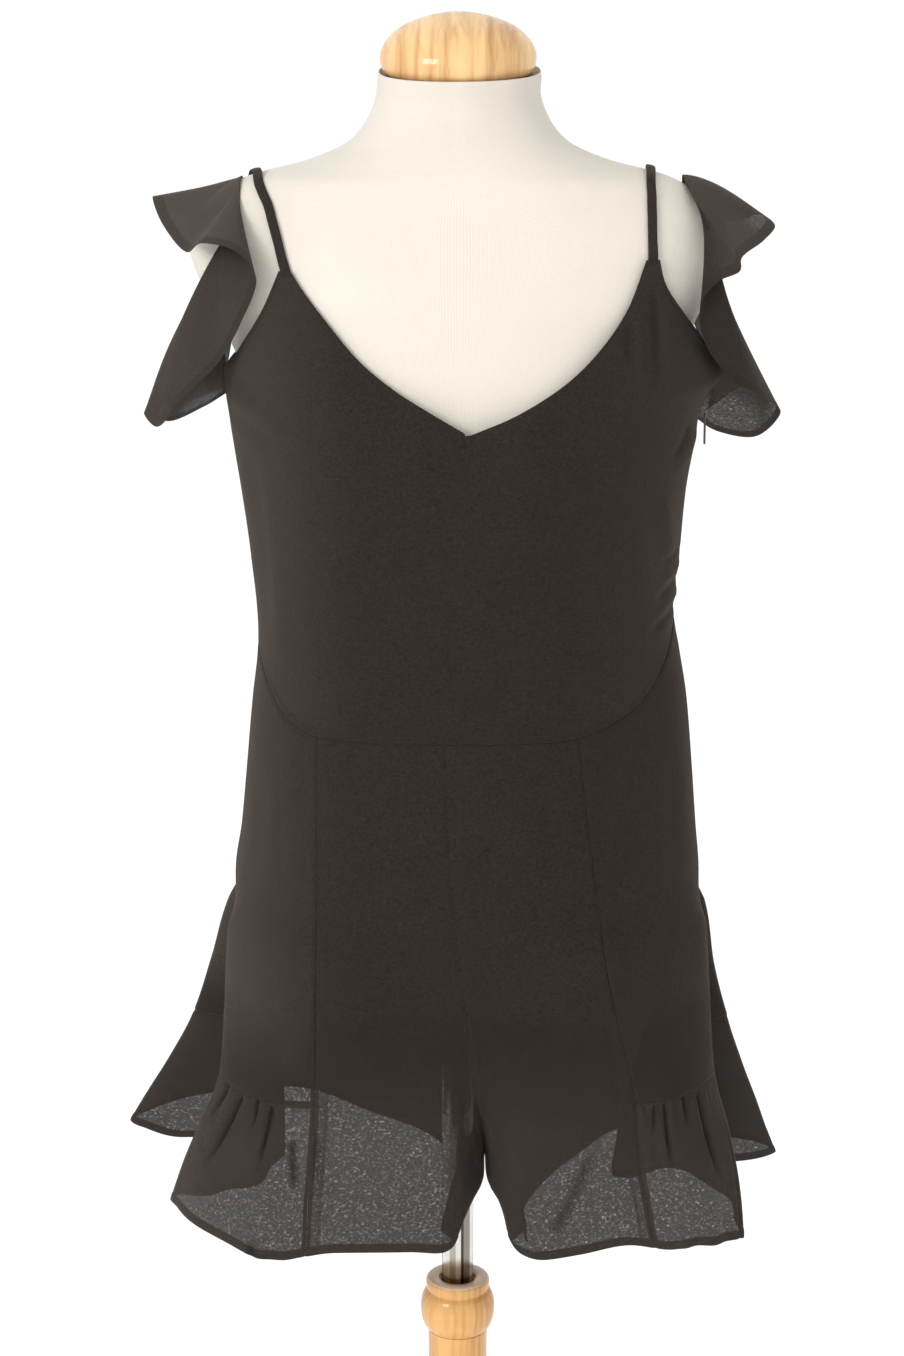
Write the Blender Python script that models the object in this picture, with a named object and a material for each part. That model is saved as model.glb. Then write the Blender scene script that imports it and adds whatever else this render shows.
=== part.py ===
"""A short black playsuit on a limbless dress form with a wooden stand.

Metres, +Z up, floor at z = 0, front towards -Y, wearer's left towards +X. The tables and
sizes below are in millimetres and are turned into metres where the meshes are made.
"""
import math

import bmesh
import bpy
from mathutils import Matrix, Vector

MM = 0.001

# ---------------------------------------------------------------- cloth
CLOTH_WALL = 1.2
SEAM_GAP = 0.4
FORM_CLEARANCE = 1.6
ROUNDNESS = 2.3
# Small steps, in stations and in millimetres, that give a surface its normal.
SAMPLE_STEP = 0.02
SAMPLE_DROP = 2.0

WAIST_SIDE_LEFT = 1000.0
WAIST_SIDE_RIGHT = 1018.0
WAIST_FRONT = 950.0
WAIST_BACK = 985.0
CROTCH_HEIGHT = 608.0
# The centre seams part over these heights, where the sections change to one tube per leg.
LEGS_JOINED = 730.0
LEGS_APART = 695.0
RUFFLE_SEAM = 685.0
HEM_HEIGHT = 565.0
RUFFLE_FOLD_DEPTH = 4.0

# ---------------------------------------------------------------- dress form and stand
FORM_FACETS = 36
FORM_BOTTOM = 800.0
NECK_TOP = 1408.0
NECK_BASE = 1352.0
NECK_TILT_FRONT = 11.0
NECK_TILT_SIDE = 4.5
BUST_HEIGHT = 1148.0
BUST_OFFSET = 76.0
BUST_RISE = 13.0
BUST_WIDTH = 36.0
SHOULDER_LEVEL = 1290.0
CAP_RADIUS = 54.5
CAP_HEIGHT = 32.0
POLE_RADIUS = 12.0
POLE_SEAT = 470.0
SOCKET_RADIUS = 13.8
COLLAR_TOP = 498.0
COLLAR_BOTTOM = 452.0
BASE_THICKNESS = 34.0
BASE_RADIUS = 190.0
TURNED_FACETS = 28
REST_GAP = 0.3

# Height, half width, front depth and back depth of the torso.
FORM_SECTIONS = (
    (800, 136, 84, 96),
    (815, 142, 92, 106),
    (850, 146, 98, 113),
    (885, 147, 99, 114),
    (930, 142, 95, 103),
    (980, 133, 89, 88),
    (1030, 126, 86, 80),
    (1080, 131, 93, 82),
    (1120, 140, 101, 87),
    (1150, 147, 104, 91),
    (1190, 150, 100, 95),
    (1230, 165, 87, 97),
    (1260, 180, 77, 93),
    (1285, 187, 67, 88),
    (1305, 186, 59, 81),
    (1320, 171, 54, 74),
    (1330, 146, 52, 69),
    (1340, 106, 51, 65),
    (1352, 76, 51, 61),
    (1367, 63, 52, 57),
    (1385, 57, 52, 54),
    (1408, 54.5, 54.5, 54.5),
)

# Height, centre line, left edge, right edge, front depth and back depth of the cloth.
CLOTH_SECTIONS = (
    (1290, 4, -191, 192, 71, 92),
    (1230, 4, -170, 176, 93, 101),
    (1195, 5, -163, 184, 107, 101),
    (1180, 5, -162, 174, 112, 100),
    (1165, 4, -160, 168, 115, 99),
    (1150, 4, -158, 166, 117, 98),
    (1110, 2, -152, 160, 117, 94),
    (1065, 0, -146, 157, 112, 92),
    (1020, -4, -142, 154, 105, 94),
    (995, -7, -143, 158, 102, 98),
    (960, -9, -147, 164, 102, 106),
    (910, -8, -152, 169, 105, 118),
    (863, -6, -157, 173, 108, 124),
    (828, -3, -162, 176, 109, 128),
)

# Stations round a half of the garment, from the centre front to the centre back.
STATIONS = ("front", "corner", "princess", "bulge", "fold", "turn", "side", "lobe",
            "back_princess", "back_corner", "back")
# Angle of each station on the upper sections, front positive, in degrees.
STATION_ANGLES = {
    "left": (90, 78, 50, 38, 26, 13, 0, -26, -56, -78, -90),
    "right": (90, 78, 59, 43, 28, 14, 0, -26, -56, -78, -90),
}
# Height and x of the front princess seams below the waist.
PRINCESS_TOP = 965.0
PRINCESS_LINES = {
    "left": ((790, -100), (855, -99), (942, -98), (970, -98)),
    "right": ((790, 104.5), (855, 95), (923, 87), (970, 83)),
}
# Height and plan position (x, y) of each station from the corner to the back corner.
LEG_SECTIONS = {
    "left": (
        (790, (-30, -108), (-100, -109), (-135, -89), (-166, -36), (-164, -12),
         (-158, 8), (-172, 34), (-108, 114), (-32, 126)),
        (735, (-24, -109), (-101, -110), (-139, -93), (-170, -40), (-158, -7),
         (-146, 22), (-187, 58), (-109, 127), (-30, 124)),
        (685, (-16, -108), (-102, -109), (-144, -97), (-174, -44), (-153, -4),
         (-136, 38), (-202, 76), (-112, 141), (-26, 121)),
        (640, (-10, -105), (-105, -108), (-149, -104), (-190, -34), (-155, -2),
         (-136, 55), (-224, 92), (-115, 154), (-20, 115)),
        (605, (-8, -102), (-108, -108), (-153, -109), (-203, -24), (-158, 0),
         (-138, 70), (-244, 102), (-118, 166), (-17, 108)),
        (560, (-7, -99), (-111, -108), (-156, -111), (-217, -11), (-161, 2),
         (-141, 85), (-268, 114), (-121, 179), (-15, 102)),
    ),
    "right": (
        (790, (36, -108), (104, -109), (141, -87), (179, -38), (180, -12),
         (172, 8), (184, 28), (106, 114), (34, 124)),
        (735, (38, -109), (116, -109), (150, -91), (182, -44), (180, -2),
         (158, 20), (193, 46), (110, 124), (36, 117)),
        (685, (42, -109), (126, -106), (158, -95), (186, -51), (178, 8),
         (142, 32), (206, 62), (115, 132), (40, 106)),
        (640, (46, -106), (130, -102), (166, -97), (200, -58), (182, 22),
         (132, 43), (222, 72), (120, 138), (46, 92)),
        (605, (48, -103), (136, -98), (172, -98), (208, -64), (184, 32),
         (126, 51), (236, 80), (124, 142), (50, 78)),
        (560, (49, -100), (145, -94), (178, -97), (217, -68), (186, 42),
         (120, 59), (253, 91), (128, 146), (54, 60)),
    ),
}
# Height, x and y of the centre front seam down to the crotch.
CENTRE_FRONT = (
    (793, 1, -108), (748, 6, -108), (713, 11, -104), (688, 14, -96), (660, 17, -80),
    (636, 19, -58), (618, 20, -36), (CROTCH_HEIGHT, 20, -20),
)
# Height, x and y of the centre back seam down to the crotch.
CENTRE_BACK = (
    (793, 4, 126), (748, 8, 121), (713, 12, 110), (688, 14, 97), (660, 17, 76),
    (636, 19, 48), (618, 20, 14), (CROTCH_HEIGHT, 20, -20),
)
# Height, x and y of each inseam below the crotch.
INSEAMS = {
    "left": ((587, 17, -16), (560, 15, -12)),
    "right": ((587, 27, -12), (560, 33, -6)),
}
# Height of the hem at every station.
HEM_HEIGHTS = {
    "left": (565, 565, 565, 569, 576, 570, 569, 578, 576, 568, 565),
    "right": (565, 565, 565, 565, 565, 564, 562, 560, 558, 560, 563),
}
PANEL_ROWS = (905, 865, 828, 790, 755, 720)
LEG_ROWS = (RUFFLE_SEAM, 660, 636, 618, CROTCH_HEIGHT, 587)
RUFFLE_ROWS = 4

# Columns in each span between two stations.
FRONT_SPANS = (3, 4)
SIDE_SPANS = (3, 3, 3, 3)
LOBE_SPANS = (5, 5)
BACK_SPANS = (4, 3)

# x and height along the top of the bodice, from the right underarm of the form to the left.
FRONT_ARMHOLE_LEFT = ((-163, 1195), (-158, 1204), (-148, 1220), (-133, 1245), (-119, 1272))
FRONT_NECK_LEFT = ((-111, 1272), (-105, 1260), (-88, 1239), (-67, 1216), (-43, 1198),
                   (-19, 1184), (7, 1169))
FRONT_NECK_RIGHT = ((7, 1169), (40, 1183), (74, 1203), (98, 1225), (113, 1248), (124, 1279))
FRONT_ARMHOLE_RIGHT = ((132, 1279), (137, 1263), (153, 1241), (164, 1226), (184, 1195))
BACK_ARMHOLE_LEFT = ((-163, 1195), (-150, 1210), (-136, 1228), (-121, 1246))
BACK_NECK_LEFT = ((-113, 1246), (-92, 1222), (-55, 1198), (5, 1184))
BACK_NECK_RIGHT = ((5, 1184), (60, 1198), (98, 1222), (118, 1246))
BACK_ARMHOLE_RIGHT = ((126, 1246), (146, 1228), (166, 1210), (184, 1195))
BODICE_ROWS = 7
ARMHOLE_COLUMNS = 6

# ---------------------------------------------------------------- straps
STRAP_WIDTH = 7.0
STRAP_THICKNESS = 2.0
STRAP_STEPS = 24
# x at the front peak, on the shoulder and at the back peak, and the heights of the two peaks.
STRAP_ROUTES = {
    "left": (-115, -142, -117, 1273.3, 1246.9),
    "right": (128, 136, 122, 1279.7, 1246.9),
}
# Heights up the front, places over the shoulder and heights down the back of each strap's route.
STRAP_FRONT_HEIGHTS = (1290, 1303, 1314)
STRAP_CREST_DEPTHS = (-30, -10, 10, 30, 46)
STRAP_BACK_HEIGHTS = (1310, 1290, 1268)

# ---------------------------------------------------------------- sleeves
# Each row is a fold line: its point on the seam and its point on the hem.
SLEEVE_FOLDS = {
    "left": (
        ((-162.3, -8, 1198.3), (-174, 14, 1176)),
        ((-161, -28, 1209), (-188, 42, 1158)),
        ((-163, -40, 1232), (-206, 32, 1151)),
        ((-163, -46, 1260), (-221, 5, 1163)),
        ((-162, -48, 1275), (-211, -20, 1158)),
        ((-159, -49, 1288), (-190, -45, 1181)),
        ((-156, -48, 1299), (-163, -57, 1210)),
        ((-153, -43, 1309), (-146, -67, 1242)),
        ((-151, -35, 1317), (-140, -74, 1268)),
        ((-150, -25, 1323), (-151, -83, 1290)),
        ((-149, -15, 1328), (-171, -81, 1294)),
        ((-149, -5, 1331), (-188, -60, 1288)),
        ((-149, 5, 1332), (-204, -26, 1301)),
        ((-149, 15, 1332), (-212, 6, 1314)),
        ((-150, 26, 1330), (-208, 42, 1305)),
        ((-151, 38, 1324), (-192, 76, 1290)),
        ((-152, 50, 1315), (-170, 96, 1266)),
        ((-154, 61, 1300), (-166, 101, 1232)),
        ((-157, 68, 1278), (-190, 96, 1196)),
        ((-161, 63, 1244), (-198, 84, 1174)),
        ((-161, 40, 1212), (-186, 68, 1176)),
        ((-161.9, 11.5, 1198.3), (-184, 34, 1172)),
    ),
    "right": (
        ((182.7, -9, 1199.4), (188, 14, 1162)),
        ((178, -30, 1213), (203, 46, 1139)),
        ((176, -42, 1238), (222, 28, 1143)),
        ((175, -47, 1262), (226, 2, 1161)),
        ((175, -49, 1276), (210, -32, 1170)),
        ((174, -50, 1288), (186, -46, 1190)),
        ((172, -49, 1299), (167, -52, 1217)),
        ((169, -44, 1309), (166, -62, 1243)),
        ((166, -38, 1316), (174, -74, 1262)),
        ((161, -27, 1322), (187, -77, 1272)),
        ((159, -18, 1326), (198, -59, 1283)),
        ((158, -8, 1329), (212, -34, 1291)),
        ((157, 2, 1331), (219, -8, 1297)),
        ((156, 12, 1331), (214, 20, 1303)),
        ((156, 24, 1330), (202, 56, 1293)),
        ((157, 37, 1325), (188, 80, 1288)),
        ((158, 50, 1316), (176, 96, 1266)),
        ((160, 62, 1300), (173, 101, 1232)),
        ((164, 70, 1276), (197, 96, 1196)),
        ((171, 66, 1248), (207, 84, 1174)),
        ((176, 42, 1214), (200, 68, 1176)),
        ((182, 11.5, 1198.4), (198, 34, 1172)),
    ),
}
SLEEVE_COLUMNS = 36
SLEEVE_ROWS = 4
# Share of a fold's length, from the seam, over which the wall keeps one facing.
SLEEVE_FLARE = 0.05
# Arch of the folds away from the middle of the shoulder.
SLEEVE_ARCH = 9.0
SHOULDER_MIDDLE = {"left": (-120.0, 0.0, 1255.0), "right": (120.0, 0.0, 1255.0)}

# ---------------------------------------------------------------- zip
ZIP_HEIGHT = 1163.0
SLIDER_RISE = 2.0
SLIDER_SIZE = (3.0, 5.0, 9.0)
PULL_LENGTH = 22.0
PULL_WIDTH = 4.0
PULL_THICKNESS = 1.4

# Colour, roughness and metallic value of each material.
FINISHES = {
    "cloth_black": ((0.020, 0.017, 0.015), 0.85, 0.0),
    "jersey_cream": ((0.86, 0.80, 0.70), 0.90, 0.0),
    "wood_varnished": ((0.72, 0.45, 0.20), 0.25, 0.0),
    "chrome": ((0.75, 0.74, 0.72), 0.12, 1.0),
    "zip_metal": ((0.05, 0.05, 0.05), 0.40, 0.8),
}


# ---------------------------------------------------------------- numbers and curves
def mix(a, b, share):
    """Return the value that lies the given share of the way from a to b."""
    return a + (b - a) * share


def smooth_step(low, high, value):
    """Return 0 below low, 1 above high and an S curve between them."""
    share = min(max((value - low) / (high - low), 0.0), 1.0)
    return share * share * (3.0 - 2.0 * share)


def table_value(rows, column, position):
    """Read a column of a table at a position in its first column, with smooth joins."""
    ordered = sorted(rows, key=lambda row: row[0])
    keys = [row[0] for row in ordered]
    values = [row[column] for row in ordered]
    last = len(keys) - 1
    span = 0
    while span < last - 1 and position > keys[span + 1]:
        span += 1
    steps = [(values[i + 1] - values[i]) / (keys[i + 1] - keys[i]) for i in range(last)]

    def slope(index):
        if index == 0:
            return steps[0]
        if index == last:
            return steps[last - 1]
        before, after = steps[index - 1], steps[index]
        if before * after <= 0.0:
            return 0.0
        return 2.0 * before * after / (before + after)

    width = keys[span + 1] - keys[span]
    share = (position - keys[span]) / width
    if share < 0.0 or share > 1.0:
        edge = span if share < 0.0 else span + 1
        return values[edge] + slope(edge) * (position - keys[edge])
    low, high = values[span], values[span + 1]
    rise = slope(span) * width
    fall = slope(span + 1) * width
    square, cube = share ** 2, share ** 3
    return (low * (2 * cube - 3 * square + 1) + rise * (cube - 2 * square + share)
            + high * (3 * square - 2 * cube) + fall * (cube - square))


def spline_point(before, start, end, after, share):
    """Point on a smooth curve between start and end, with centripetal spacing."""
    gap_before = max((start - before).length, 1e-6) ** 0.5
    gap = max((end - start).length, 1e-6) ** 0.5
    gap_after = max((after - end).length, 1e-6) ** 0.5
    leave = (start - before) / gap_before - (end - before) / (gap_before + gap)
    leave = (leave + (end - start) / gap) * gap
    arrive = (end - start) / gap - (after - start) / (gap + gap_after)
    arrive = (arrive + (after - end) / gap_after) * gap
    square, cube = share ** 2, share ** 3
    return (start * (2 * cube - 3 * square + 1) + leave * (cube - 2 * square + share)
            + end * (3 * square - 2 * cube) + arrive * (cube - square))


def along(points, position):
    """Point at a fractional index along a smooth curve through the points."""
    last = len(points) - 1
    index = min(int(position), last - 1)
    start, end = points[index], points[index + 1]
    before = points[index - 1] if index > 0 else start + (start - end)
    after = points[index + 2] if index + 2 <= last else end + (end - start)
    return spline_point(before, start, end, after, position - index)


def resample(points, count):
    """Spread count + 1 points evenly along straight runs between the given points."""
    lengths = [math.dist(a, b) for a, b in zip(points, points[1:])]
    total = sum(lengths)
    result = []
    for step in range(count + 1):
        travel = total * step / count
        index = 0
        while index < len(lengths) - 1 and travel > lengths[index]:
            travel -= lengths[index]
            index += 1
        share = min(travel / lengths[index], 1.0)
        result.append(tuple(mix(a, b, share) for a, b in zip(points[index], points[index + 1])))
    return result


# ---------------------------------------------------------------- dress form
def bust_rise(x, height):
    """Extra front depth of the bust at a width and a height."""
    fall = 40.0 if height > BUST_HEIGHT else 46.0
    level = math.exp(-((height - BUST_HEIGHT) / fall) ** 2)
    sides = sum(math.exp(-((x - place) / BUST_WIDTH) ** 2) for place in (-BUST_OFFSET, BUST_OFFSET))
    return BUST_RISE * level * sides


def rounded_plan(angle, half_width, front, back):
    """Plan point of a rounded section, with the front at +90 degrees."""
    cosine, sine = math.cos(angle), math.sin(angle)
    power = 2.0 / ROUNDNESS
    x = math.copysign(abs(cosine) ** power, cosine) * half_width
    depth = front if sine > 0.0 else back
    y = -math.copysign(abs(sine) ** power, sine) * depth
    return x, y


def form_section(height):
    """Half width, front depth and back depth of the torso at a height."""
    height = min(max(height, FORM_BOTTOM), NECK_TOP)
    return tuple(table_value(FORM_SECTIONS, column, height) for column in (1, 2, 3))


def form_point(angle, height):
    """Surface point of the torso, before the neck's tilt."""
    half_width, front, back = form_section(height)
    x, y = rounded_plan(angle, half_width, front, back)
    if y < 0.0:
        y -= bust_rise(x, height) * min(-y / front, 1.0) ** 2
    return Vector((x, y, height))


def neck_shift(point):
    """Rise of the neck's top where it tilts forwards and to one side."""
    share = smooth_step(NECK_BASE, NECK_TOP, point.z)
    front = math.tan(math.radians(NECK_TILT_FRONT)) * point.y
    side = math.tan(math.radians(NECK_TILT_SIDE)) * point.x
    return share * (front + side)


def clear_of_form(point, clearance=FORM_CLEARANCE):
    """Move a cloth point sideways until it clears the torso."""
    if not FORM_BOTTOM - 4.0 < point.z < 1345.0:
        return point
    half_width, front, back = form_section(point.z)
    depth = front if point.y < 0.0 else back
    if point.y < 0.0:
        depth += bust_rise(point.x, point.z)
    wide, deep = half_width + clearance, depth + clearance
    ratio = (abs(point.x / wide) ** ROUNDNESS + abs(point.y / deep) ** ROUNDNESS) ** (1.0 / ROUNDNESS)
    if ratio >= 1.0 or ratio < 1e-6:
        return point
    outwards = Vector((point.x / ratio, point.y / ratio, point.z))
    if point.z < SHOULDER_LEVEL:
        return outwards
    upwards = Vector((point.x, point.y, shoulder_top(point.x, point.y) + clearance))
    return min((outwards, upwards), key=lambda spot: (spot - point).length)


def shoulder_top(x, y):
    """Height of the torso's upper surface over a plan point."""
    low, high = 1285.0, 1360.0
    for _ in range(40):
        middle = (low + high) / 2.0
        half_width, front, back = form_section(middle)
        depth = front if y < 0.0 else back
        inside = abs(x / half_width) ** ROUNDNESS + abs(y / depth) ** ROUNDNESS < 1.0
        low, high = (middle, high) if inside else (low, middle)
    return low


# ---------------------------------------------------------------- the garment's surface
def section_station(side, index, height):
    """Plan point of a station on the upper sections."""
    values = [table_value(CLOTH_SECTIONS, column, height) for column in range(1, 6)]
    centre, left, right, front, back = values
    half_width = centre - left if side == "left" else right - centre
    angle = math.radians(STATION_ANGLES[side][index])
    if STATIONS[index] == "princess" and height < PRINCESS_TOP:
        away = abs(table_value(PRINCESS_LINES[side], 1, height) - centre) / half_width
        angle = math.acos(away ** (ROUNDNESS / 2.0))
    x, y = rounded_plan(angle, half_width, front, back)
    x = centre - x if side == "left" else centre + x
    if y < 0.0:
        y -= bust_rise(x, height) * min(-y / front, 1.0) ** 2
    return x, y


def station_rows(side, index):
    """Height, x and y of a station from the top of the cloth to the hem."""
    rows = [(row[0],) + section_station(side, index, row[0]) for row in CLOTH_SECTIONS]
    if index == 0:
        return rows + list(CENTRE_FRONT) + list(INSEAMS[side])
    if index == len(STATIONS) - 1:
        return rows + list(CENTRE_BACK) + list(INSEAMS[side])
    return rows + [(row[0],) + row[index] for row in LEG_SECTIONS[side]]


STATION_TABLES = {
    side: [station_rows(side, index) for index in range(len(STATIONS))]
    for side in ("left", "right")
}


def station(side, index, height):
    """Point of a station at a height."""
    rows = STATION_TABLES[side][index]
    x, y = table_value(rows, 1, height), table_value(rows, 2, height)
    if index in (0, len(STATIONS) - 1):
        part_way = SEAM_GAP * smooth_step(LEGS_JOINED, LEGS_APART, height)
        x += part_way if side == "right" else -part_way
    return Vector((x, y, height))


def gather(side, position, height):
    """Depth of the ruffle's soft folds."""
    if height >= RUFFLE_SEAM or not 2.0 < position < 8.0:
        return 0.0
    share = (RUFFLE_SEAM - height) / (RUFFLE_SEAM - HEM_HEIGHT)
    ends = smooth_step(2.0, 2.5, position) * smooth_step(8.0, 7.5, position)
    seam = smooth_step(0.0, 0.35, abs(position - 6.0))
    start = 0.3 if side == "left" else 1.9
    wave = math.sin(9.4 * position + start) + 0.4 * math.sin(5.3 * position + 2.0 * start)
    return RUFFLE_FOLD_DEPTH * share * ends * seam * wave


def plain_point(side, position, height):
    """Point of the garment's surface without the ruffle's folds."""
    last = len(STATIONS) - 1
    index = min(max(int(position), 0), last - 1)
    other = "right" if side == "left" else "left"
    tube = smooth_step(LEGS_APART, CROTCH_HEIGHT, height)
    start, end = station(side, index, height), station(side, index + 1, height)
    if index > 0:
        before = station(side, index - 1, height)
    else:
        across = station(other, 1, height)
        around = Vector((end.x, station(side, last - 1, height).y, height))
        before = across.lerp(around, tube)
    if index + 2 <= last:
        after = station(side, index + 2, height)
    else:
        across = station(other, last - 1, height)
        around = Vector((start.x, station(side, 1, height).y, height))
        after = across.lerp(around, tube)
    return spline_point(before, start, end, after, position - index)


def surface(side, position, height):
    """Outer surface point of the garment and its outward normal."""
    point = plain_point(side, position, height)
    step, drop = SAMPLE_STEP, SAMPLE_DROP
    back = max(position - step, 0.0)
    ahead = min(position + step, len(STATIONS) - 1.0)
    round_way = plain_point(side, ahead, height) - plain_point(side, back, height)
    down_way = plain_point(side, position, height - drop) - plain_point(side, position, height + drop)
    normal = down_way.cross(round_way)
    if side == "left":
        normal.negate()
    normal.normalize()
    flat = Vector((normal.x, normal.y, 0.0)).normalized()
    point = point + flat * gather(side, position, height)
    return clear_of_form(point, FORM_CLEARANCE + CLOTH_WALL), normal


def waist_height(side, position):
    """Height of the curved waist seam at a place round the garment."""
    at_side = WAIST_SIDE_LEFT if side == "left" else WAIST_SIDE_RIGHT
    if position < 6.0:
        return mix(at_side, WAIST_FRONT, smooth_step(6.0, 1.6, position))
    return mix(at_side, WAIST_BACK, smooth_step(6.0, 9.0, position))


def hem_height(side, position):
    """Height of the hem at a place round the leg."""
    heights = HEM_HEIGHTS[side]
    index = min(int(position), len(heights) - 2)
    return mix(heights[index], heights[index + 1], position - index)


# ---------------------------------------------------------------- meshes
def new_object(name, mesh_data, finish, smooth=True):
    """Link a finished bmesh to the scene as an object with its own material."""
    bmesh.ops.recalc_face_normals(mesh_data, faces=mesh_data.faces[:])
    mesh = bpy.data.meshes.new(name)
    mesh_data.to_mesh(mesh)
    mesh_data.free()
    colour, roughness, metallic = FINISHES[finish]
    material = bpy.data.materials.new(name + "_" + finish)
    material.use_nodes = True
    shader = material.node_tree.nodes["Principled BSDF"]
    shader.inputs["Base Color"].default_value = colour + (1.0,)
    shader.inputs["Roughness"].default_value = roughness
    shader.inputs["Metallic"].default_value = metallic
    mesh.materials.append(material)
    if smooth:
        mesh.shade_smooth()
        mesh.set_sharp_from_angle(angle=math.radians(40.0))
    item = bpy.data.objects.new(name, mesh)
    bpy.context.scene.collection.objects.link(item)
    return item


def wall_mesh(grid, thickness):
    """Closed wall from rows of (outer point, normal), thickened inwards."""
    data = bmesh.new()
    outer = [[data.verts.new(point * MM) for point, _ in row] for row in grid]
    inner = [[data.verts.new((point - normal * thickness) * MM) for point, normal in row]
             for row in grid]
    rows, columns = len(grid), len(grid[0])
    for r in range(rows - 1):
        for c in range(columns - 1):
            data.faces.new((outer[r][c], outer[r][c + 1], outer[r + 1][c + 1], outer[r + 1][c]))
            data.faces.new((inner[r][c], inner[r + 1][c], inner[r + 1][c + 1], inner[r][c + 1]))
    for r in range(rows - 1):
        for c in (0, columns - 1):
            data.faces.new((outer[r][c], outer[r + 1][c], inner[r + 1][c], inner[r][c]))
    for c in range(columns - 1):
        for r in (0, rows - 1):
            data.faces.new((outer[r][c], outer[r][c + 1], inner[r][c + 1], inner[r][c]))
    return data


def trim_edges(grid, sides=True, ends=True):
    """Draw the grid's edges back from its seams by half of the seam gap."""
    half = SEAM_GAP / 2.0
    trimmed = [list(row) for row in grid]
    if sides:
        for r, row in enumerate(grid):
            for c, inside in ((0, 1), (-1, -2)):
                point, normal = row[c]
                way = (row[inside][0] - point).normalized()
                trimmed[r][c] = (point + way * half, normal)
    if ends:
        copy = [list(row) for row in trimmed]
        for r, inside in ((0, 1), (-1, -2)):
            for c in range(len(grid[0])):
                point, normal = copy[r][c]
                way = (copy[inside][c][0] - point).normalized()
                trimmed[r][c] = (point + way * half, normal)
    return trimmed


def span_positions(first, spans):
    """Positions of the columns over consecutive spans between stations."""
    positions = [float(first)]
    for index, count in enumerate(spans):
        positions += [first + index + (step + 1) / count for step in range(count)]
    return positions


def leg_panel(name, side, first, spans, rows, to_hem):
    """A leg panel from the waist seam down to the ruffle seam or the hem."""
    positions = span_positions(first, spans)
    grid = [[surface(side, place, waist_height(side, place)) for place in positions]]
    for height in rows:
        grid.append([surface(side, place, height) for place in positions])
    if to_hem:
        grid.append([surface(side, place, hem_height(side, place)) for place in positions])
    new_object(name, wall_mesh(trim_edges(grid), CLOTH_WALL), "cloth_black")


def ruffle(name, side, first, spans):
    """A gathered ruffle from the seam of the side panels down to the hem."""
    coarse = span_positions(first, spans)
    seam = [surface(side, place, RUFFLE_SEAM) for place in coarse]
    positions, top = [], []
    for index, place in enumerate(coarse):
        positions.append(place)
        top.append(seam[index])
        if index + 1 < len(coarse):
            positions.append((place + coarse[index + 1]) / 2.0)
            point = seam[index][0].lerp(seam[index + 1][0], 0.5)
            normal = (seam[index][1] + seam[index + 1][1]).normalized()
            top.append((point, normal))
    grid = [top]
    for step in range(RUFFLE_ROWS):
        share = (step + 1) / RUFFLE_ROWS
        grid.append([surface(side, place, mix(RUFFLE_SEAM, hem_height(side, place), share))
                     for place in positions])
    new_object(name, wall_mesh(trim_edges(grid), CLOTH_WALL), "cloth_black")


def place_at(side, x, height, low, high):
    """Position round the garment, between two stations, where the surface reaches x."""
    rising = plain_point(side, high, height).x > plain_point(side, low, height).x
    for _ in range(30):
        middle = (low + high) / 2.0
        if (plain_point(side, middle, height).x < x) == rising:
            low = middle
        else:
            high = middle
    return (low + high) / 2.0


def bodice_columns(spans_in, spans_out, front):
    """Side and position of every bodice column at the waist seam, left to right."""
    if front:
        half = span_positions(0, spans_in + spans_out)
    else:
        half = span_positions(6, spans_out + spans_in)
        half.reverse()
    left = [("left", place) for place in reversed(half)]
    right = [("right", place) for place in half[1:]]
    return left + right


def bodice(name, front, edges):
    """A bodice half that runs from the curved waist seam up to its neck and armholes."""
    spans_out = SIDE_SPANS if front else LOBE_SPANS
    spans_in = FRONT_SPANS if front else BACK_SPANS
    columns = bodice_columns(spans_in, spans_out, front)
    half = len(columns) // 2
    armhole_left, neck_left, neck_right, armhole_right = edges
    rim = resample(armhole_left, ARMHOLE_COLUMNS)
    rim += resample(neck_left, half - ARMHOLE_COLUMNS - 1)
    rim += resample(neck_right, half - ARMHOLE_COLUMNS - 1)[1:]
    rim += resample(armhole_right, ARMHOLE_COLUMNS)
    low, high = (0.0, 6.0) if front else (6.0, 10.0)
    grid = []
    for row in range(BODICE_ROWS + 1):
        share = row / BODICE_ROWS
        line = []
        for (side, place), (x, rim_height) in zip(columns, rim):
            at_side = place == 6.0
            top_place = 6.0 if at_side else place_at(side, x, rim_height, low, high)
            height = mix(waist_height(side, place), rim_height, share)
            line.append(surface(side, mix(place, top_place, smooth_step(0.0, 1.0, share)), height))
        grid.append(line)
    new_object(name, wall_mesh(trim_edges(grid), CLOTH_WALL), "cloth_black")


def tube_mesh(path, across, width, thickness):
    """Flat closed strap along a path, with rounded sides and square ends."""
    data = bmesh.new()
    rings = []
    for index, point in enumerate(path):
        ahead = path[min(index + 1, len(path) - 1)] - path[max(index - 1, 0)]
        way = ahead.normalized()
        side = (across[index] - way * across[index].dot(way)).normalized()
        up = way.cross(side)
        ring = []
        for turn in range(8):
            angle = math.radians(22.5 + 45.0 * turn)
            offset = side * math.cos(angle) * width / 2.0 + up * math.sin(angle) * thickness / 2.0
            ring.append(data.verts.new((point + offset) * MM))
        rings.append(ring)
    for first, second in zip(rings, rings[1:]):
        for turn in range(8):
            following = (turn + 1) % 8
            data.faces.new((first[turn], first[following], second[following], second[turn]))
    data.faces.new(rings[0])
    data.faces.new(list(reversed(rings[-1])))
    return data


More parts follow.
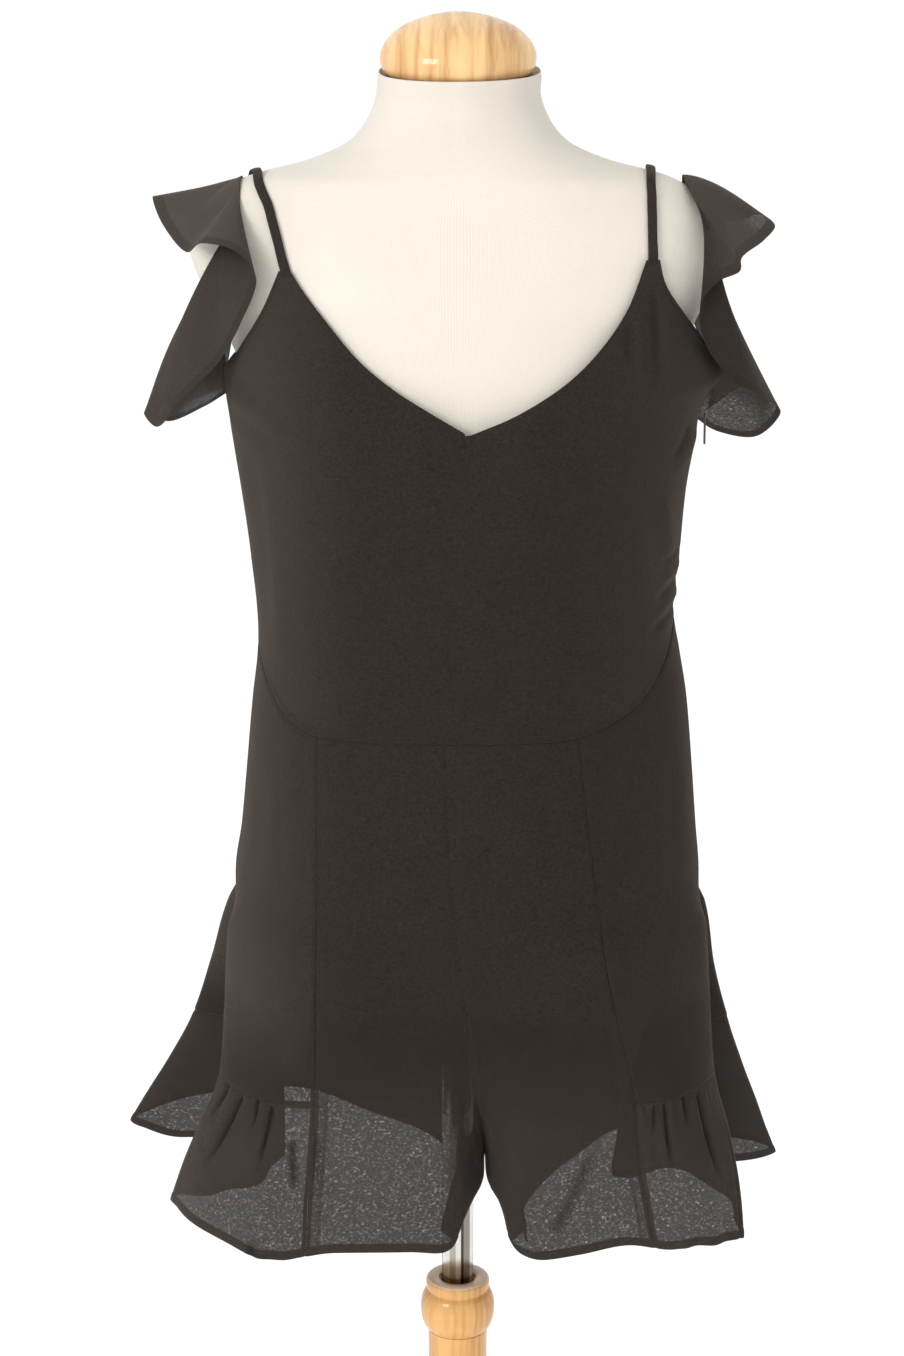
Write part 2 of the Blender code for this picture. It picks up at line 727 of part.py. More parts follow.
def strap(name, side):
    """A narrow strap from the front peak of the bodice over the shoulder to the back peak."""
    front_x, top_x, back_x, front_height, back_height = STRAP_ROUTES[side]
    lift = FORM_CLEARANCE + STRAP_THICKNESS / 2.0

    def on_form(x, height, front):
        half_width, front_depth, back_depth = form_section(height)
        depth = front_depth if front else back_depth
        y = depth * (1.0 - abs(x / half_width) ** ROUNDNESS) ** (1.0 / ROUNDNESS)
        return Vector((x, -y - lift if front else y + lift, height))

    fronts = (front_height,) + STRAP_FRONT_HEIGHTS
    backs = STRAP_BACK_HEIGHTS + (back_height,)
    marks = [on_form(mix(front_x, top_x, step / len(fronts)), height, True)
             for step, height in enumerate(fronts)]
    marks += [Vector((top_x, y, shoulder_top(top_x, y) + lift)) for y in STRAP_CREST_DEPTHS]
    marks += [on_form(mix(top_x, back_x, (step + 1) / len(backs)), height, False)
              for step, height in enumerate(backs)]
    runs = len(marks) - 1
    path = [clear_of_form(along(marks, runs * step / STRAP_STEPS), lift)
            for step in range(STRAP_STEPS + 1)]
    across = [Vector((1.0, 0.0, -0.25 if side == "right" else 0.25))] * len(path)
    new_object(name, tube_mesh(path, across, STRAP_WIDTH, STRAP_THICKNESS), "cloth_black")


def sleeve(name, side):
    """A flounce sleeve that falls in folds from its seam over the shoulder."""
    seam = [Vector(row[0]) for row in SLEEVE_FOLDS[side]]
    hem = [Vector(row[1]) for row in SLEEVE_FOLDS[side]]
    last = len(seam) - 1
    middle = Vector(SHOULDER_MIDDLE[side])
    clearance = FORM_CLEARANCE + CLOTH_WALL / 2.0

    def point(place, share):
        place = min(max(place, 0.0), last)
        straight = along(seam, place).lerp(along(hem, place), share)
        away = (straight - middle).normalized()
        return straight + away * SLEEVE_ARCH * 4.0 * share * (1.0 - share)

    grid = []
    for row in range(SLEEVE_ROWS + 1):
        share = row / SLEEVE_ROWS
        line = []
        for column in range(SLEEVE_COLUMNS + 1):
            place = last * column / SLEEVE_COLUMNS
            facing = max(share, SLEEVE_FLARE)
            round_way = point(place + SAMPLE_STEP, facing) - point(place - SAMPLE_STEP, facing)
            low, high = min(facing + SAMPLE_STEP, 1.0), facing - SAMPLE_STEP
            down_way = point(place, low) - point(place, high)
            normal = round_way.cross(down_way).normalized()
            if side == "left":
                normal.negate()
            line.append((clear_of_form(point(place, share), clearance), normal))
        grid.append(line)
    centred = [[(spot + normal * CLOTH_WALL / 2.0, normal) for spot, normal in line] for line in grid]
    new_object(name, wall_mesh(centred, CLOTH_WALL), "cloth_black")


def turned(name, profile, finish, facets=TURNED_FACETS):
    """Solid of revolution about Z from a closed or axis-to-axis profile of (radius, height)."""
    data = bmesh.new()
    verts = [data.verts.new((radius * MM, 0.0, height * MM)) for radius, height in profile]
    pairs = list(zip(verts, verts[1:]))
    if profile[0][0] > 0.0:
        pairs.append((verts[-1], verts[0]))
    edges = [data.edges.new(pair) for pair in pairs]
    bmesh.ops.spin(data, geom=verts + edges, cent=(0.0, 0.0, 0.0), axis=(0.0, 0.0, 1.0),
                   dvec=(0.0, 0.0, 0.0), angle=math.tau, steps=facets, use_merge=True,
                   use_duplicate=False)
    bmesh.ops.remove_doubles(data, verts=data.verts[:], dist=0.00001)
    return new_object(name, data, finish)


def torso():
    """The jersey-covered torso, from its flat bottom to the tilted neck."""
    data = bmesh.new()
    rings = []
    for row in FORM_SECTIONS:
        ring = []
        for facet in range(FORM_FACETS):
            point = form_point(math.tau * facet / FORM_FACETS, row[0])
            point.z += neck_shift(point)
            ring.append(data.verts.new(point * MM))
        rings.append(ring)
    for low, high in zip(rings, rings[1:]):
        for facet in range(FORM_FACETS):
            following = (facet + 1) % FORM_FACETS
            data.faces.new((low[facet], low[following], high[following], high[facet]))
    data.faces.new(rings[0])
    data.faces.new(rings[-1])
    new_object("form_torso", data, "jersey_cream")


def neck_cap():
    """The domed wooden cap, tilted with the neck."""
    profile = (
        (0.0, 0.0), (CAP_RADIUS - 1.0, 0.0), (CAP_RADIUS, 1.5), (CAP_RADIUS + 0.3, 8.0),
        (CAP_RADIUS - 1.5, 13.0), (CAP_RADIUS - 5.0, 18.0), (CAP_RADIUS - 12.0, 22.5),
        (CAP_RADIUS - 21.0, 26.5), (CAP_RADIUS - 34.0, 30.0), (0.0, CAP_HEIGHT),
    )
    cap = turned("neck_cap", profile, "wood_varnished")
    tilt = Matrix.Rotation(math.radians(NECK_TILT_FRONT), 4, "X")
    roll = Matrix.Rotation(math.radians(-NECK_TILT_SIDE), 4, "Y")
    cap.matrix_world = Matrix.Translation((0.0, 0.0, (NECK_TOP + REST_GAP) * MM)) @ roll @ tilt


def stand():
    """Chrome pole, turned collar and column, and the round base."""
    turned("pole", ((0.0, POLE_SEAT + REST_GAP), (POLE_RADIUS, POLE_SEAT + REST_GAP),
                    (POLE_RADIUS, FORM_BOTTOM - REST_GAP), (0.0, FORM_BOTTOM - REST_GAP)), "chrome")
    turned("collar", (
        (0.0, COLLAR_BOTTOM), (22.0, COLLAR_BOTTOM), (25.0, 455.0), (27.0, 464.0), (27.6, 472.0),
        (26.0, 481.0), (23.0, 488.0), (22.4, 490.0), (23.5, 491.5), (23.5, 497.0),
        (22.5, COLLAR_TOP), (SOCKET_RADIUS, COLLAR_TOP), (SOCKET_RADIUS, POLE_SEAT),
        (0.0, POLE_SEAT)), "wood_varnished")
    column_top = COLLAR_BOTTOM - REST_GAP
    turned("column", (
        (0.0, BASE_THICKNESS + REST_GAP), (38.0, BASE_THICKNESS + REST_GAP), (38.0, 48.0),
        (30.0, 60.0), (26.0, 80.0), (27.5, 200.0), (26.0, 320.0), (23.0, 400.0), (22.2, 440.0),
        (22.5, column_top), (0.0, column_top)), "wood_varnished")
    turned("base", (
        (0.0, 0.0), (BASE_RADIUS - 4.0, 0.0), (BASE_RADIUS, 4.0), (BASE_RADIUS, 16.0),
        (BASE_RADIUS - 6.0, 24.0), (BASE_RADIUS - 30.0, 29.0), (60.0, BASE_THICKNESS),
        (0.0, BASE_THICKNESS)), "wood_varnished", facets=40)


def slider_place():
    """Distance of the slider's middle from the centre, just outside the side seam."""
    top = ZIP_HEIGHT + SLIDER_RISE + SLIDER_SIZE[2] / 2.0
    return surface("right", 6.0, top)[0].x + REST_GAP + SLIDER_SIZE[0] / 2.0


def zip_slider():
    """The slider of the invisible zip, on the side seam under the arm."""
    data = bmesh.new()
    bmesh.ops.create_cube(data, size=1.0)
    bmesh.ops.scale(data, vec=[size * MM for size in SLIDER_SIZE], verts=data.verts[:])
    edges = data.edges[:]
    bmesh.ops.bevel(data, geom=edges, offset=0.6 * MM, offset_type="OFFSET", segments=1,
                    profile=0.5, affect="EDGES", material=-1)
    item = new_object("zip_slider", data, "zip_metal")
    item.location = (slider_place() * MM, 0.0, (ZIP_HEIGHT + SLIDER_RISE) * MM)


def zip_pull():
    """The pull tab, hung on its hinge in front of the slider."""
    data = bmesh.new()
    half = PULL_THICKNESS / 2.0
    outline = ((-0.9, 0.6), (0.9, 0.6), (1.2, -6.0), (PULL_WIDTH / 2.0, -PULL_LENGTH + 4.0),
               (1.2, -PULL_LENGTH + 0.6), (0.0, -PULL_LENGTH), (-1.2, -PULL_LENGTH + 0.6),
               (-PULL_WIDTH / 2.0, -PULL_LENGTH + 4.0), (-1.2, -6.0))
    front = [data.verts.new((half * MM, y * MM, z * MM)) for y, z in outline]
    face = data.faces.new(front)
    grown = bmesh.ops.extrude_face_region(data, geom=[face])
    moved = [item for item in grown["geom"] if isinstance(item, bmesh.types.BMVert)]
    bmesh.ops.translate(data, vec=(-PULL_THICKNESS * MM, 0.0, 0.0), verts=moved)
    item = new_object("zip_pull", data, "zip_metal")
    hinge_x = slider_place() + SLIDER_SIZE[0] / 2.0 + REST_GAP + half
    item.location = (hinge_x * MM, 0.0, ZIP_HEIGHT * MM)


def garment():
    """All cut and sewn pieces of the playsuit."""
    front_edges = (FRONT_ARMHOLE_LEFT, FRONT_NECK_LEFT, FRONT_NECK_RIGHT, FRONT_ARMHOLE_RIGHT)
    back_edges = (BACK_ARMHOLE_LEFT, BACK_NECK_LEFT, BACK_NECK_RIGHT, BACK_ARMHOLE_RIGHT)
    bodice("bodice_front", True, front_edges)
    bodice("bodice_back", False, back_edges)
    for side in ("left", "right"):
        strap("strap_" + side, side)
        sleeve("sleeve_" + side, side)
        leg_panel("front_" + side, side, 0, FRONT_SPANS, PANEL_ROWS + LEG_ROWS, True)
        leg_panel("side_front_" + side, side, 2, SIDE_SPANS, PANEL_ROWS + (RUFFLE_SEAM,), False)
        leg_panel("side_back_" + side, side, 6, LOBE_SPANS, PANEL_ROWS + (RUFFLE_SEAM,), False)
        leg_panel("back_" + side, side, 8, BACK_SPANS, PANEL_ROWS + LEG_ROWS, True)
        ruffle("ruffle_front_" + side, side, 2, SIDE_SPANS)
        ruffle("ruffle_back_" + side, side, 6, LOBE_SPANS)


def main():
    """Clear the scene and build the dress form, its stand and the playsuit."""
    for item in list(bpy.data.objects):
        bpy.data.objects.remove(item, do_unlink=True)
    torso()
    neck_cap()
    stand()
    garment()
    zip_slider()
    zip_pull()


main()
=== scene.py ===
"""A short black playsuit on a limbless dress form with a turned wooden stand.

Metres, +Z up, floor at z = 0, front towards -Y, wearer's left towards +X. Tables and sizes are
in millimetres and are turned into metres where a mesh is made. "Left" in names is the side
towards -X, as someone who faces the front sees it.
"""
import logging
import math
from dataclasses import dataclass
from enum import Enum
from typing import Any, Callable, Optional, Sequence, Union

import bmesh
import bpy
import numpy as np
from mathutils import Matrix, Vector


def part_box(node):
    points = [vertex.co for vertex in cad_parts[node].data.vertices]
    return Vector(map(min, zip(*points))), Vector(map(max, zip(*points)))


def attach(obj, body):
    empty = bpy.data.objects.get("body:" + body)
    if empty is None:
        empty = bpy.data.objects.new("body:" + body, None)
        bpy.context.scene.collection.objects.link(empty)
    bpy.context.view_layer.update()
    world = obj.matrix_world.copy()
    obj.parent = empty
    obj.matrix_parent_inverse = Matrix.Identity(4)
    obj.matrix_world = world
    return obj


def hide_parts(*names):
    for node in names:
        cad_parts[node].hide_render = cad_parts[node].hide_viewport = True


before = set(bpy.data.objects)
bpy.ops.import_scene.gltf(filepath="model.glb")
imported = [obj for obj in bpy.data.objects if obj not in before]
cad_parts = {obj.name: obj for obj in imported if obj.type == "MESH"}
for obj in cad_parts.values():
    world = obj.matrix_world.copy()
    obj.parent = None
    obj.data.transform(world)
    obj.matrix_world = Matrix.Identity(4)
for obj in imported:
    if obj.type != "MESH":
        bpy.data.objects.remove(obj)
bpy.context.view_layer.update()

LOG = logging.getLogger("playsuit")
MM = 0.001
GARMENT_BODY = "playsuit_on_form"
PULL_BODY = "zip_pull"
Array = np.ndarray


class Side(Enum):
    """The two halves of the garment, as seen from the front."""

    LEFT = "left"
    RIGHT = "right"

    @property
    def sign(self) -> float:
        """-1 on the left and 1 on the right."""
        return -1.0 if self is Side.LEFT else 1.0

    @property
    def other(self) -> "Side":
        """The opposite side."""
        return Side.RIGHT if self is Side.LEFT else Side.LEFT


class Half(Enum):
    """The front or the back of the garment."""

    FRONT = "front"
    BACK = "back"


# ---------------------------------------------------------------- cloth
FORM_CLEARANCE = 1.6
# Halvings in a search for a place on a surface.
HALVINGS = 26
ROUNDNESS = 2.3
WAIST_SIDE_LEFT = 1000.0
WAIST_SIDE_RIGHT = 1018.0
WAIST_FRONT = 950.0
WAIST_BACK = 985.0
CROTCH_HEIGHT = 608.0
# The legs part from this height down to the crotch.
LEGS_APART = 695.0
RUFFLE_SEAM = 685.0
HEM_HEIGHT = 565.0
RUFFLE_FOLD_DEPTH = 4.0

# ---------------------------------------------------------------- dress form and stand
FORM_BOTTOM = 800.0
NECK_TOP = 1397.8
NECK_BASE = 1352.0
NECK_TILT_FRONT = 3.6
NECK_TILT_SIDE = 0.3
BUST_HEIGHT = 1148.0
BUST_OFFSET = 76.0
BUST_RISE = 13.0
BUST_WIDTH = 36.0
# How far the bust fades out above and below.
BUST_FALLS = (40.0, 46.0)
SHOULDER_LEVEL = 1290.0
# Heights between which the shoulders' upper surface lies, and where the bare neck starts.
SHOULDER_RANGE = (1285.0, 1360.0)
CLOTH_LIMIT = 1345.0
CAP_RADIUS = 53.5
CAP_HEIGHT = 41.6
POLE_RADIUS = 12.0
POLE_SEAT = 470.0
SOCKET_RADIUS = 13.8
COLLAR_TOP = 498.0
COLLAR_BOTTOM = 456.0
BASE_THICKNESS = 34.0
BASE_RADIUS = 190.0
REST_GAP = 0.3
# Height, half width, front depth and back depth of the torso.
FORM_SECTIONS = (
    (800, 136, 84, 96),
    (815, 142, 92, 106),
    (850, 146, 98, 113),
    (885, 147, 99, 114),
    (930, 142, 95, 103),
    (980, 133, 89, 88),
    (1030, 126, 86, 80),
    (1080, 131, 93, 82),
    (1120, 140, 101, 87),
    (1150, 147, 104, 91),
    (1190, 150, 100, 95),
    (1230, 165, 87, 97),
    (1260, 180, 77, 93),
    (1285, 187, 67, 88),
    (1303, 182, 59, 81),
    (1316.5, 166, 54, 74),
    (1328, 146, 52, 69),
    (1338.5, 106, 51, 65),
    (1352, 76, 51, 61),
    (1367, 63, 52, 57),
    (1382, 57, 52, 54),
    (1397.8, 54.2, 54.2, 54.2),
)

# Height, centre line, left edge, right edge, front depth and back depth of the cloth.
CLOTH_SECTIONS = (
    (1290, 4, -191, 192, 71, 92),
    (1230, 4, -170, 176, 93, 101),
    (1195, 5, -163, 184, 107, 101),
    (1180, 5, -162, 174, 112, 100),
    (1165, 4, -160, 168, 115, 99),
    (1150, 4, -158, 166, 117, 98),
    (1110, 2, -152, 160, 117, 94),
    (1065, 0, -146, 157, 112, 92),
    (1020, -4, -142, 154, 105, 94),
    (995, -7, -143, 158, 102, 98),
    (960, -9, -147, 164, 102, 106),
    (910, -8, -152, 169, 105, 118),
    (863, -6, -157, 173, 108, 124),
    (828, -3, -162, 176, 109, 128),
)

# Stations round a half of the garment, from the centre front to the centre back.
STATIONS = ("front", "corner", "princess", "bulge", "fold", "turn", "side", "lobe",
            "back_princess", "back_corner", "back")
SIDE_STATION = float(STATIONS.index("side"))
# Angle of each station on the upper sections, front positive, in degrees.
STATION_ANGLES = {
    Side.LEFT: (90, 78, 50, 38, 26, 13, 0, -26, -56, -78, -90),
    Side.RIGHT: (90, 78, 59, 43, 28, 14, 0, -26, -56, -78, -90),
}
# Height and x of the front princess seams below the waist.
PRINCESS_TOP = 965.0
PRINCESS_LINES = {
    Side.LEFT: ((790, -100), (855, -99), (942, -98), (970, -98)),
    Side.RIGHT: ((790, 104.5), (855, 95), (923, 87), (970, 83)),
}
# Height and plan position (x, y) of each station from the corner to the back corner.
LEG_SECTIONS = {
    Side.LEFT: (
        (790, (-30, -108), (-100, -109), (-135, -89), (-166, -36), (-164, -12),
         (-158, 8), (-172, 34), (-108, 114), (-32, 126)),
        (735, (-24, -109), (-101, -110), (-139, -93), (-170, -40), (-158, -7),
         (-146, 22), (-187, 58), (-109, 127), (-30, 124)),
        (685, (-16, -108), (-102, -109), (-144, -97), (-174, -44), (-153, -4),
         (-136, 38), (-202, 76), (-112, 141), (-26, 121)),
        (640, (-8, -104), (-105, -108), (-149, -104), (-190, -34), (-155, -2),
         (-136, 55), (-224, 92), (-115, 154), (-20, 115)),
        (605, (7, -93), (-108, -108), (-153, -109), (-203, -24), (-158, 0),
         (-138, 70), (-244, 102), (-118, 166), (-17, 108)),
        (583, (2, -94), (-109, -108), (-154, -110), (-210, -17), (-159, 1),
         (-140, 78), (-256, 108), (-120, 172), (-16, 105)),
        (560, (-7, -98), (-111, -108), (-156, -111), (-217, -11), (-161, 2),
         (-141, 85), (-268, 114), (-121, 179), (-15, 102)),
    ),
    Side.RIGHT: (
        (790, (36, -108), (104, -109), (141, -87), (179, -38), (180, -12),
         (172, 8), (184, 28), (106, 114), (34, 124)),
        (735, (38, -109), (116, -109), (150, -91), (182, -44), (180, -2),
         (158, 20), (193, 46), (110, 124), (36, 117)),
        (685, (42, -109), (126, -106), (158, -95), (186, -51), (178, 8),
         (142, 32), (206, 62), (115, 132), (40, 106)),
        (640, (42, -106), (130, -102), (166, -97), (197, -60), (182, 22),
         (132, 43), (222, 72), (120, 138), (46, 92)),
        (605, (34, -96), (136, -98), (171, -98), (203, -66), (184, 32),
         (126, 51), (236, 80), (124, 142), (50, 78)),
        (583, (36, -95), (140, -96), (173, -97), (205, -68), (185, 37),
         (123, 55), (244, 85), (126, 144), (52, 69)),
        (560, (44, -97), (145, -94), (175, -97), (206, -70), (186, 42),
         (120, 59), (253, 91), (128, 146), (54, 60)),
    ),
}
# Height, x and y of the centre front seam down to the crotch.
CENTRE_FRONT = (
    (793, 1, -108), (748, 6, -108), (713, 11, -104), (688, 14, -96), (660, 17, -80),
    (636, 19, -58), (618, 20, -36), (CROTCH_HEIGHT, 20, -20),
)
# Height, x and y of the centre back seam down to the crotch.
CENTRE_BACK = (
    (793, 4, 126), (748, 8, 121), (713, 12, 110), (688, 14, 97), (660, 17, 76),
    (636, 19, 48), (618, 20, 14), (CROTCH_HEIGHT, 20, -20),
)
# Height, x and y of each inseam below the crotch.
INSEAMS = {
    Side.LEFT: ((600, 8, -38), (587, -6, -58), (575, -11, -66), (560, -14, -70)),
    Side.RIGHT: ((600, 34, -38), (587, 46, -56), (575, 49, -62), (560, 51, -66)),
}
# Place round the half and height of the hem.
HEM_HEIGHTS = {
    Side.LEFT: ((0, 570), (0.6, 570), (0.9, 570.5), (1.15, 566.5), (1.4, 569), (1.8, 569.4),
                (2.0, 567), (2.3, 565.5), (2.6, 567.5), (3.0, 571.5), (3.4, 574), (3.7, 573),
                (3.9, 569), (4.0, 567), (4.3, 569), (6.0, 570), (6.3, 569), (6.55, 564.5),
                (6.8, 576), (7.0, 580), (7.6, 582), (7.8, 581.5), (8.0, 577.5), (8.5, 563),
                (9.0, 564), (9.4, 559), (9.8, 559), (10, 570)),
    Side.RIGHT: ((0, 570), (0.6, 570), (0.9, 572), (1.1, 564), (1.25, 560.8), (1.5, 564),
                 (1.8, 569.8), (2.0, 567), (2.3, 566), (2.6, 568.5), (3.0, 570), (3.4, 568),
                 (3.8, 565), (4.0, 563.5), (4.3, 562), (4.7, 558), (5.0, 563), (5.35, 561),
                 (5.7, 554), (5.9, 553), (6.05, 560), (7.0, 559), (8.0, 554), (8.4, 542),
                 (9.0, 538), (9.5, 541), (9.8, 549), (10, 570)),
}

# x and height along the top of the bodice, from the right underarm of the form to the left.
FRONT_ARMHOLE_LEFT = ((-163, 1195), (-158, 1204), (-148, 1220), (-133, 1245), (-121, 1272))
FRONT_NECK_LEFT = ((-113, 1272), (-105, 1260), (-88, 1239), (-67, 1216), (-43, 1198),
                   (-19, 1184), (7, 1169))
FRONT_NECK_RIGHT = ((7, 1169), (40, 1183), (74, 1203), (98, 1225), (114.5, 1248), (127, 1279))
FRONT_ARMHOLE_RIGHT = ((136, 1279), (140, 1263), (154, 1241), (165, 1226), (184, 1195))
BACK_ARMHOLE_LEFT = ((-163, 1195), (-150, 1210), (-136, 1228), (-121, 1246))
BACK_NECK_LEFT = ((-113, 1246), (-92, 1222), (-55, 1198), (5, 1184))
BACK_NECK_RIGHT = ((5, 1184), (60, 1198), (98, 1222), (118, 1246))
BACK_ARMHOLE_RIGHT = ((126, 1246), (146, 1228), (166, 1210), (184, 1195))

# ---------------------------------------------------------------- straps
STRAP_WIDTH = 6.6
STRAP_THICKNESS = 2.0
# x at the front peak, on the shoulder and at the back peak, and the heights of the two peaks.
STRAP_ROUTES = {
    Side.LEFT: (-117, -135.0, -117, 1273.3, 1246.9),
    Side.RIGHT: (131.5, 129, 122, 1279.7, 1246.9),
}
# Heights up the front, places over the shoulder and heights down the back of each strap's route.
STRAP_FRONT_HEIGHTS = (1290, 1303, 1314)
STRAP_CREST_DEPTHS = (-30, -10, 10, 30, 46)
STRAP_BACK_HEIGHTS = (1310, 1290, 1268)

# ---------------------------------------------------------------- sleeves
# Each row is a fold line: its point on the seam, its point on the hem and its arch.
SLEEVE_FOLDS = {
    Side.LEFT: (
        ((-162.3, -8, 1198.3), (-163.5, 16, 1175), -1),
        ((-161, -28, 1209), (-183, 42, 1160), 7),
        ((-163, -40, 1232), (-205, 31, 1152), 12),
        ((-163, -46, 1260), (-221, 4, 1163), 15),
        ((-162, -48, 1275), (-210, -18, 1157), 16),
        ((-159, -49, 1288), (-190, -44, 1181), 13),
        ((-155, -48, 1299), (-164, -56, 1208), 8),
        ((-152, -43, 1307), (-146, -67, 1240), 4),
        ((-150, -35, 1314), (-136, -72, 1268), 1),
        ((-149, -25, 1319.5), (-148, -83, 1288), 0),
        ((-149, -15, 1323), (-171, -79, 1293), 0),
        ((-149, -5, 1325.5), (-183, -60, 1284.5), -1),
        ((-149, 5, 1326.7), (-202, -26, 1299), -1.5),
        ((-149.5, 15, 1326.7), (-211.5, 7, 1313.5), -1.5),
        ((-150, 26, 1325), (-206, 42, 1303), 2),
        ((-151, 38, 1320), (-190, 76, 1288), 5),
        ((-152, 50, 1312), (-170, 96, 1266), 8),
        ((-154, 61, 1299), (-166, 101, 1232), 9),
        ((-157, 68, 1278), (-190, 96, 1196), 9),
        ((-161, 63, 1244), (-198, 84, 1174), 9),
        ((-161, 40, 1212), (-184, 66, 1174), 7),
        ((-161.9, 11.5, 1198.3), (-176, 34, 1172), 4),
    ),
    Side.RIGHT: (
        ((182.7, -9, 1199.4), (166, 22, 1158), -2),
        ((173, -32, 1214), (187, 44, 1142), 3),
        ((165, -42, 1237), (213, 40, 1139), 6),
        ((167, -47, 1261), (228.5, 24, 1157), 3),
        ((169, -49, 1275), (211, -26, 1180), 4),
        ((172, -50, 1288), (187, -46, 1196), 4),
        ((169, -49, 1299), (168, -53, 1222), 3),
        ((166, -44, 1308), (164, -60, 1248), 2),
        ((162, -38, 1314), (174, -72, 1266), 1),
        ((158.5, -27, 1320), (189, -68, 1272.5), 0),
        ((156.5, -18, 1324), (191, -57, 1279.5), 0),
        ((156, -8, 1326), (210, -20, 1287.5), 1),
        ((155.5, 2, 1327.5), (219, 0, 1294.5), 4),
        ((155.5, 12, 1328), (211, 24, 1299.5), 5),
        ((156, 24, 1326), (200, 58, 1291), 5),
        ((157, 37, 1321), (188, 80, 1286), 6),
        ((158, 50, 1313), (176, 96, 1266), 8),
        ((157, 62, 1299), (173, 101, 1232), 9),
        ((156, 72, 1276), (197, 96, 1196), 7),
        ((158, 70, 1248), (205, 84, 1170), 5),
        ((170, 46, 1216), (194, 66, 1164), 3),
        ((182, 11.5, 1198.4), (178, 34, 1160), 1),
    ),
}
SHOULDER_MIDDLE = {Side.LEFT: (-120.0, 0.0, 1255.0), Side.RIGHT: (120.0, 0.0, 1255.0)}

# ---------------------------------------------------------------- numbers and curves
def smooth_step(low: float, high: float, value: Union[float, Array]) -> Array:
    """Rise from 0 at low to 1 at high along an S curve.

    Args:
        low: Value where the curve is 0.
        high: Value where the curve is 1.
        value: Numbers to read.

    Returns:
        The curve's height at each number.
    """
    share = np.clip((np.asarray(value, float) - low) / (high - low), 0.0, 1.0)
    return share * share * (3.0 - 2.0 * share)


def bell(distance: Array, width: float) -> Array:
    """A soft hump, 1 at no distance and near 0 past twice the width."""
    return np.exp(-((distance / width) ** 2))


def unit(vectors: Array) -> Array:
    """The vectors at length 1."""
    return vectors / np.maximum(np.linalg.norm(vectors, axis=-1, keepdims=True), 1e-9)


class Track:
    """A measure that changes smoothly along a table's first column."""

    def __init__(self, keys: Sequence[float], values: Sequence[float]) -> None:
        """Keep the table in rising order and work out its slopes.

        Args:
            keys: Places, such as heights.
            values: The measure at each place.
        """
        order = np.argsort(np.asarray(keys, float))
        self.keys = np.asarray(keys, float)[order]
        self.values = np.asarray(values, float)[order]
        steps = np.diff(self.values) / np.diff(self.keys)
        before, after = steps[:-1], steps[1:]
        same_way = before * after > 0.0
        total = np.where(same_way, before + after, 1.0)
        inner = np.where(same_way, 2.0 * before * after / total, 0.0)
        self.slopes = np.concatenate(([steps[0]], inner, [steps[-1]]))

    @classmethod
    def of(cls, rows: Sequence[Sequence[float]], column: int = 1) -> "Track":
        """A track of one column of a table by its first column."""
        return cls([row[0] for row in rows], [row[column] for row in rows])

    def at(self, place: Union[float, Array]) -> Array:
        """Read the measure, with straight runs beyond the table's ends.

        Args:
            place: Places to read at.

        Returns:
            The measure at each place.
        """
        place = np.asarray(place, float)
        span = np.clip(np.searchsorted(self.keys, place, side="left") - 1, 0, len(self.keys) - 2)
        width = self.keys[span + 1] - self.keys[span]
        share = (place - self.keys[span]) / width
        low, high = self.values[span], self.values[span + 1]
        rise, fall = self.slopes[span] * width, self.slopes[span + 1] * width
        square, cube = share ** 2, share ** 3
        inside = (low * (2 * cube - 3 * square + 1) + rise * (cube - 2 * square + share)
                  + high * (3 * square - 2 * cube) + fall * (cube - square))
        inside = np.where(share < 0.0, low + rise * share, inside)
        return np.where(share > 1.0, high + fall * (share - 1.0), inside)


def travelled(points: Array, axis: int = 0) -> Array:
    """Distance covered so far along an axis of a list or a grid of points."""
    steps = np.cumsum(np.linalg.norm(np.diff(points, axis=axis), axis=-1), axis=axis)
    return np.insert(steps, 0, 0.0, axis=axis)


def spline(before: Array, start: Array, end: Array, after: Array, share: Array) -> Array:
    """Points on smooth curves between start and end, with centripetal spacing.

    Args:
        before: The point ahead of each curve.
        start: Where each curve starts.
        end: Where each curve ends.
        after: The point that follows each curve.
        share: How far along each curve to read, from 0 to 1.

    Returns:
        One point for each curve.
    """
    def root(vector: Array) -> Array:
        return np.maximum(np.linalg.norm(vector, axis=-1, keepdims=True), 1e-6) ** 0.5

    share = share[..., None]
    gap_before, gap, gap_after = root(start - before), root(end - start), root(after - end)
    leave = (start - before) / gap_before - (end - before) / (gap_before + gap)
    leave = (leave + (end - start) / gap) * gap
    arrive = (end - start) / gap - (after - start) / (gap + gap_after)
    arrive = (arrive + (after - end) / gap_after) * gap
    square, cube = share ** 2, share ** 3
    return (start * (2 * cube - 3 * square + 1) + leave * (cube - 2 * square + share)
            + end * (3 * square - 2 * cube) + arrive * (cube - square))


def along(points: Array, position: Array) -> Array:
    """Read a smooth curve through the points at fractional indices.

    Args:
        points: The curve's points, one a row.
        position: Fractional indices into them.

    Returns:
        One point for each index.
    """
    last = len(points) - 1
    index = np.clip(position.astype(int), 0, last - 1)
    padded = np.concatenate(([2 * points[0] - points[1]], points, [2 * points[-1] - points[-2]]))
    return spline(padded[index], padded[index + 1], padded[index + 2], padded[index + 3],
                  position - index)


def even_curve(points: Sequence[Sequence[float]], share: Array) -> Array:
    """Read a smooth curve at shares of its length.

    Args:
        points: The curve's points.
        share: Shares of its length, from 0 to 1.

    Returns:
        One point for each share.
    """
    marks = np.asarray(points, float)
    places = np.linspace(0.0, len(marks) - 1.0, 40 * len(marks))
    travel = travelled(along(marks, places))
    return along(marks, np.interp(share * travel[-1], travel, places))


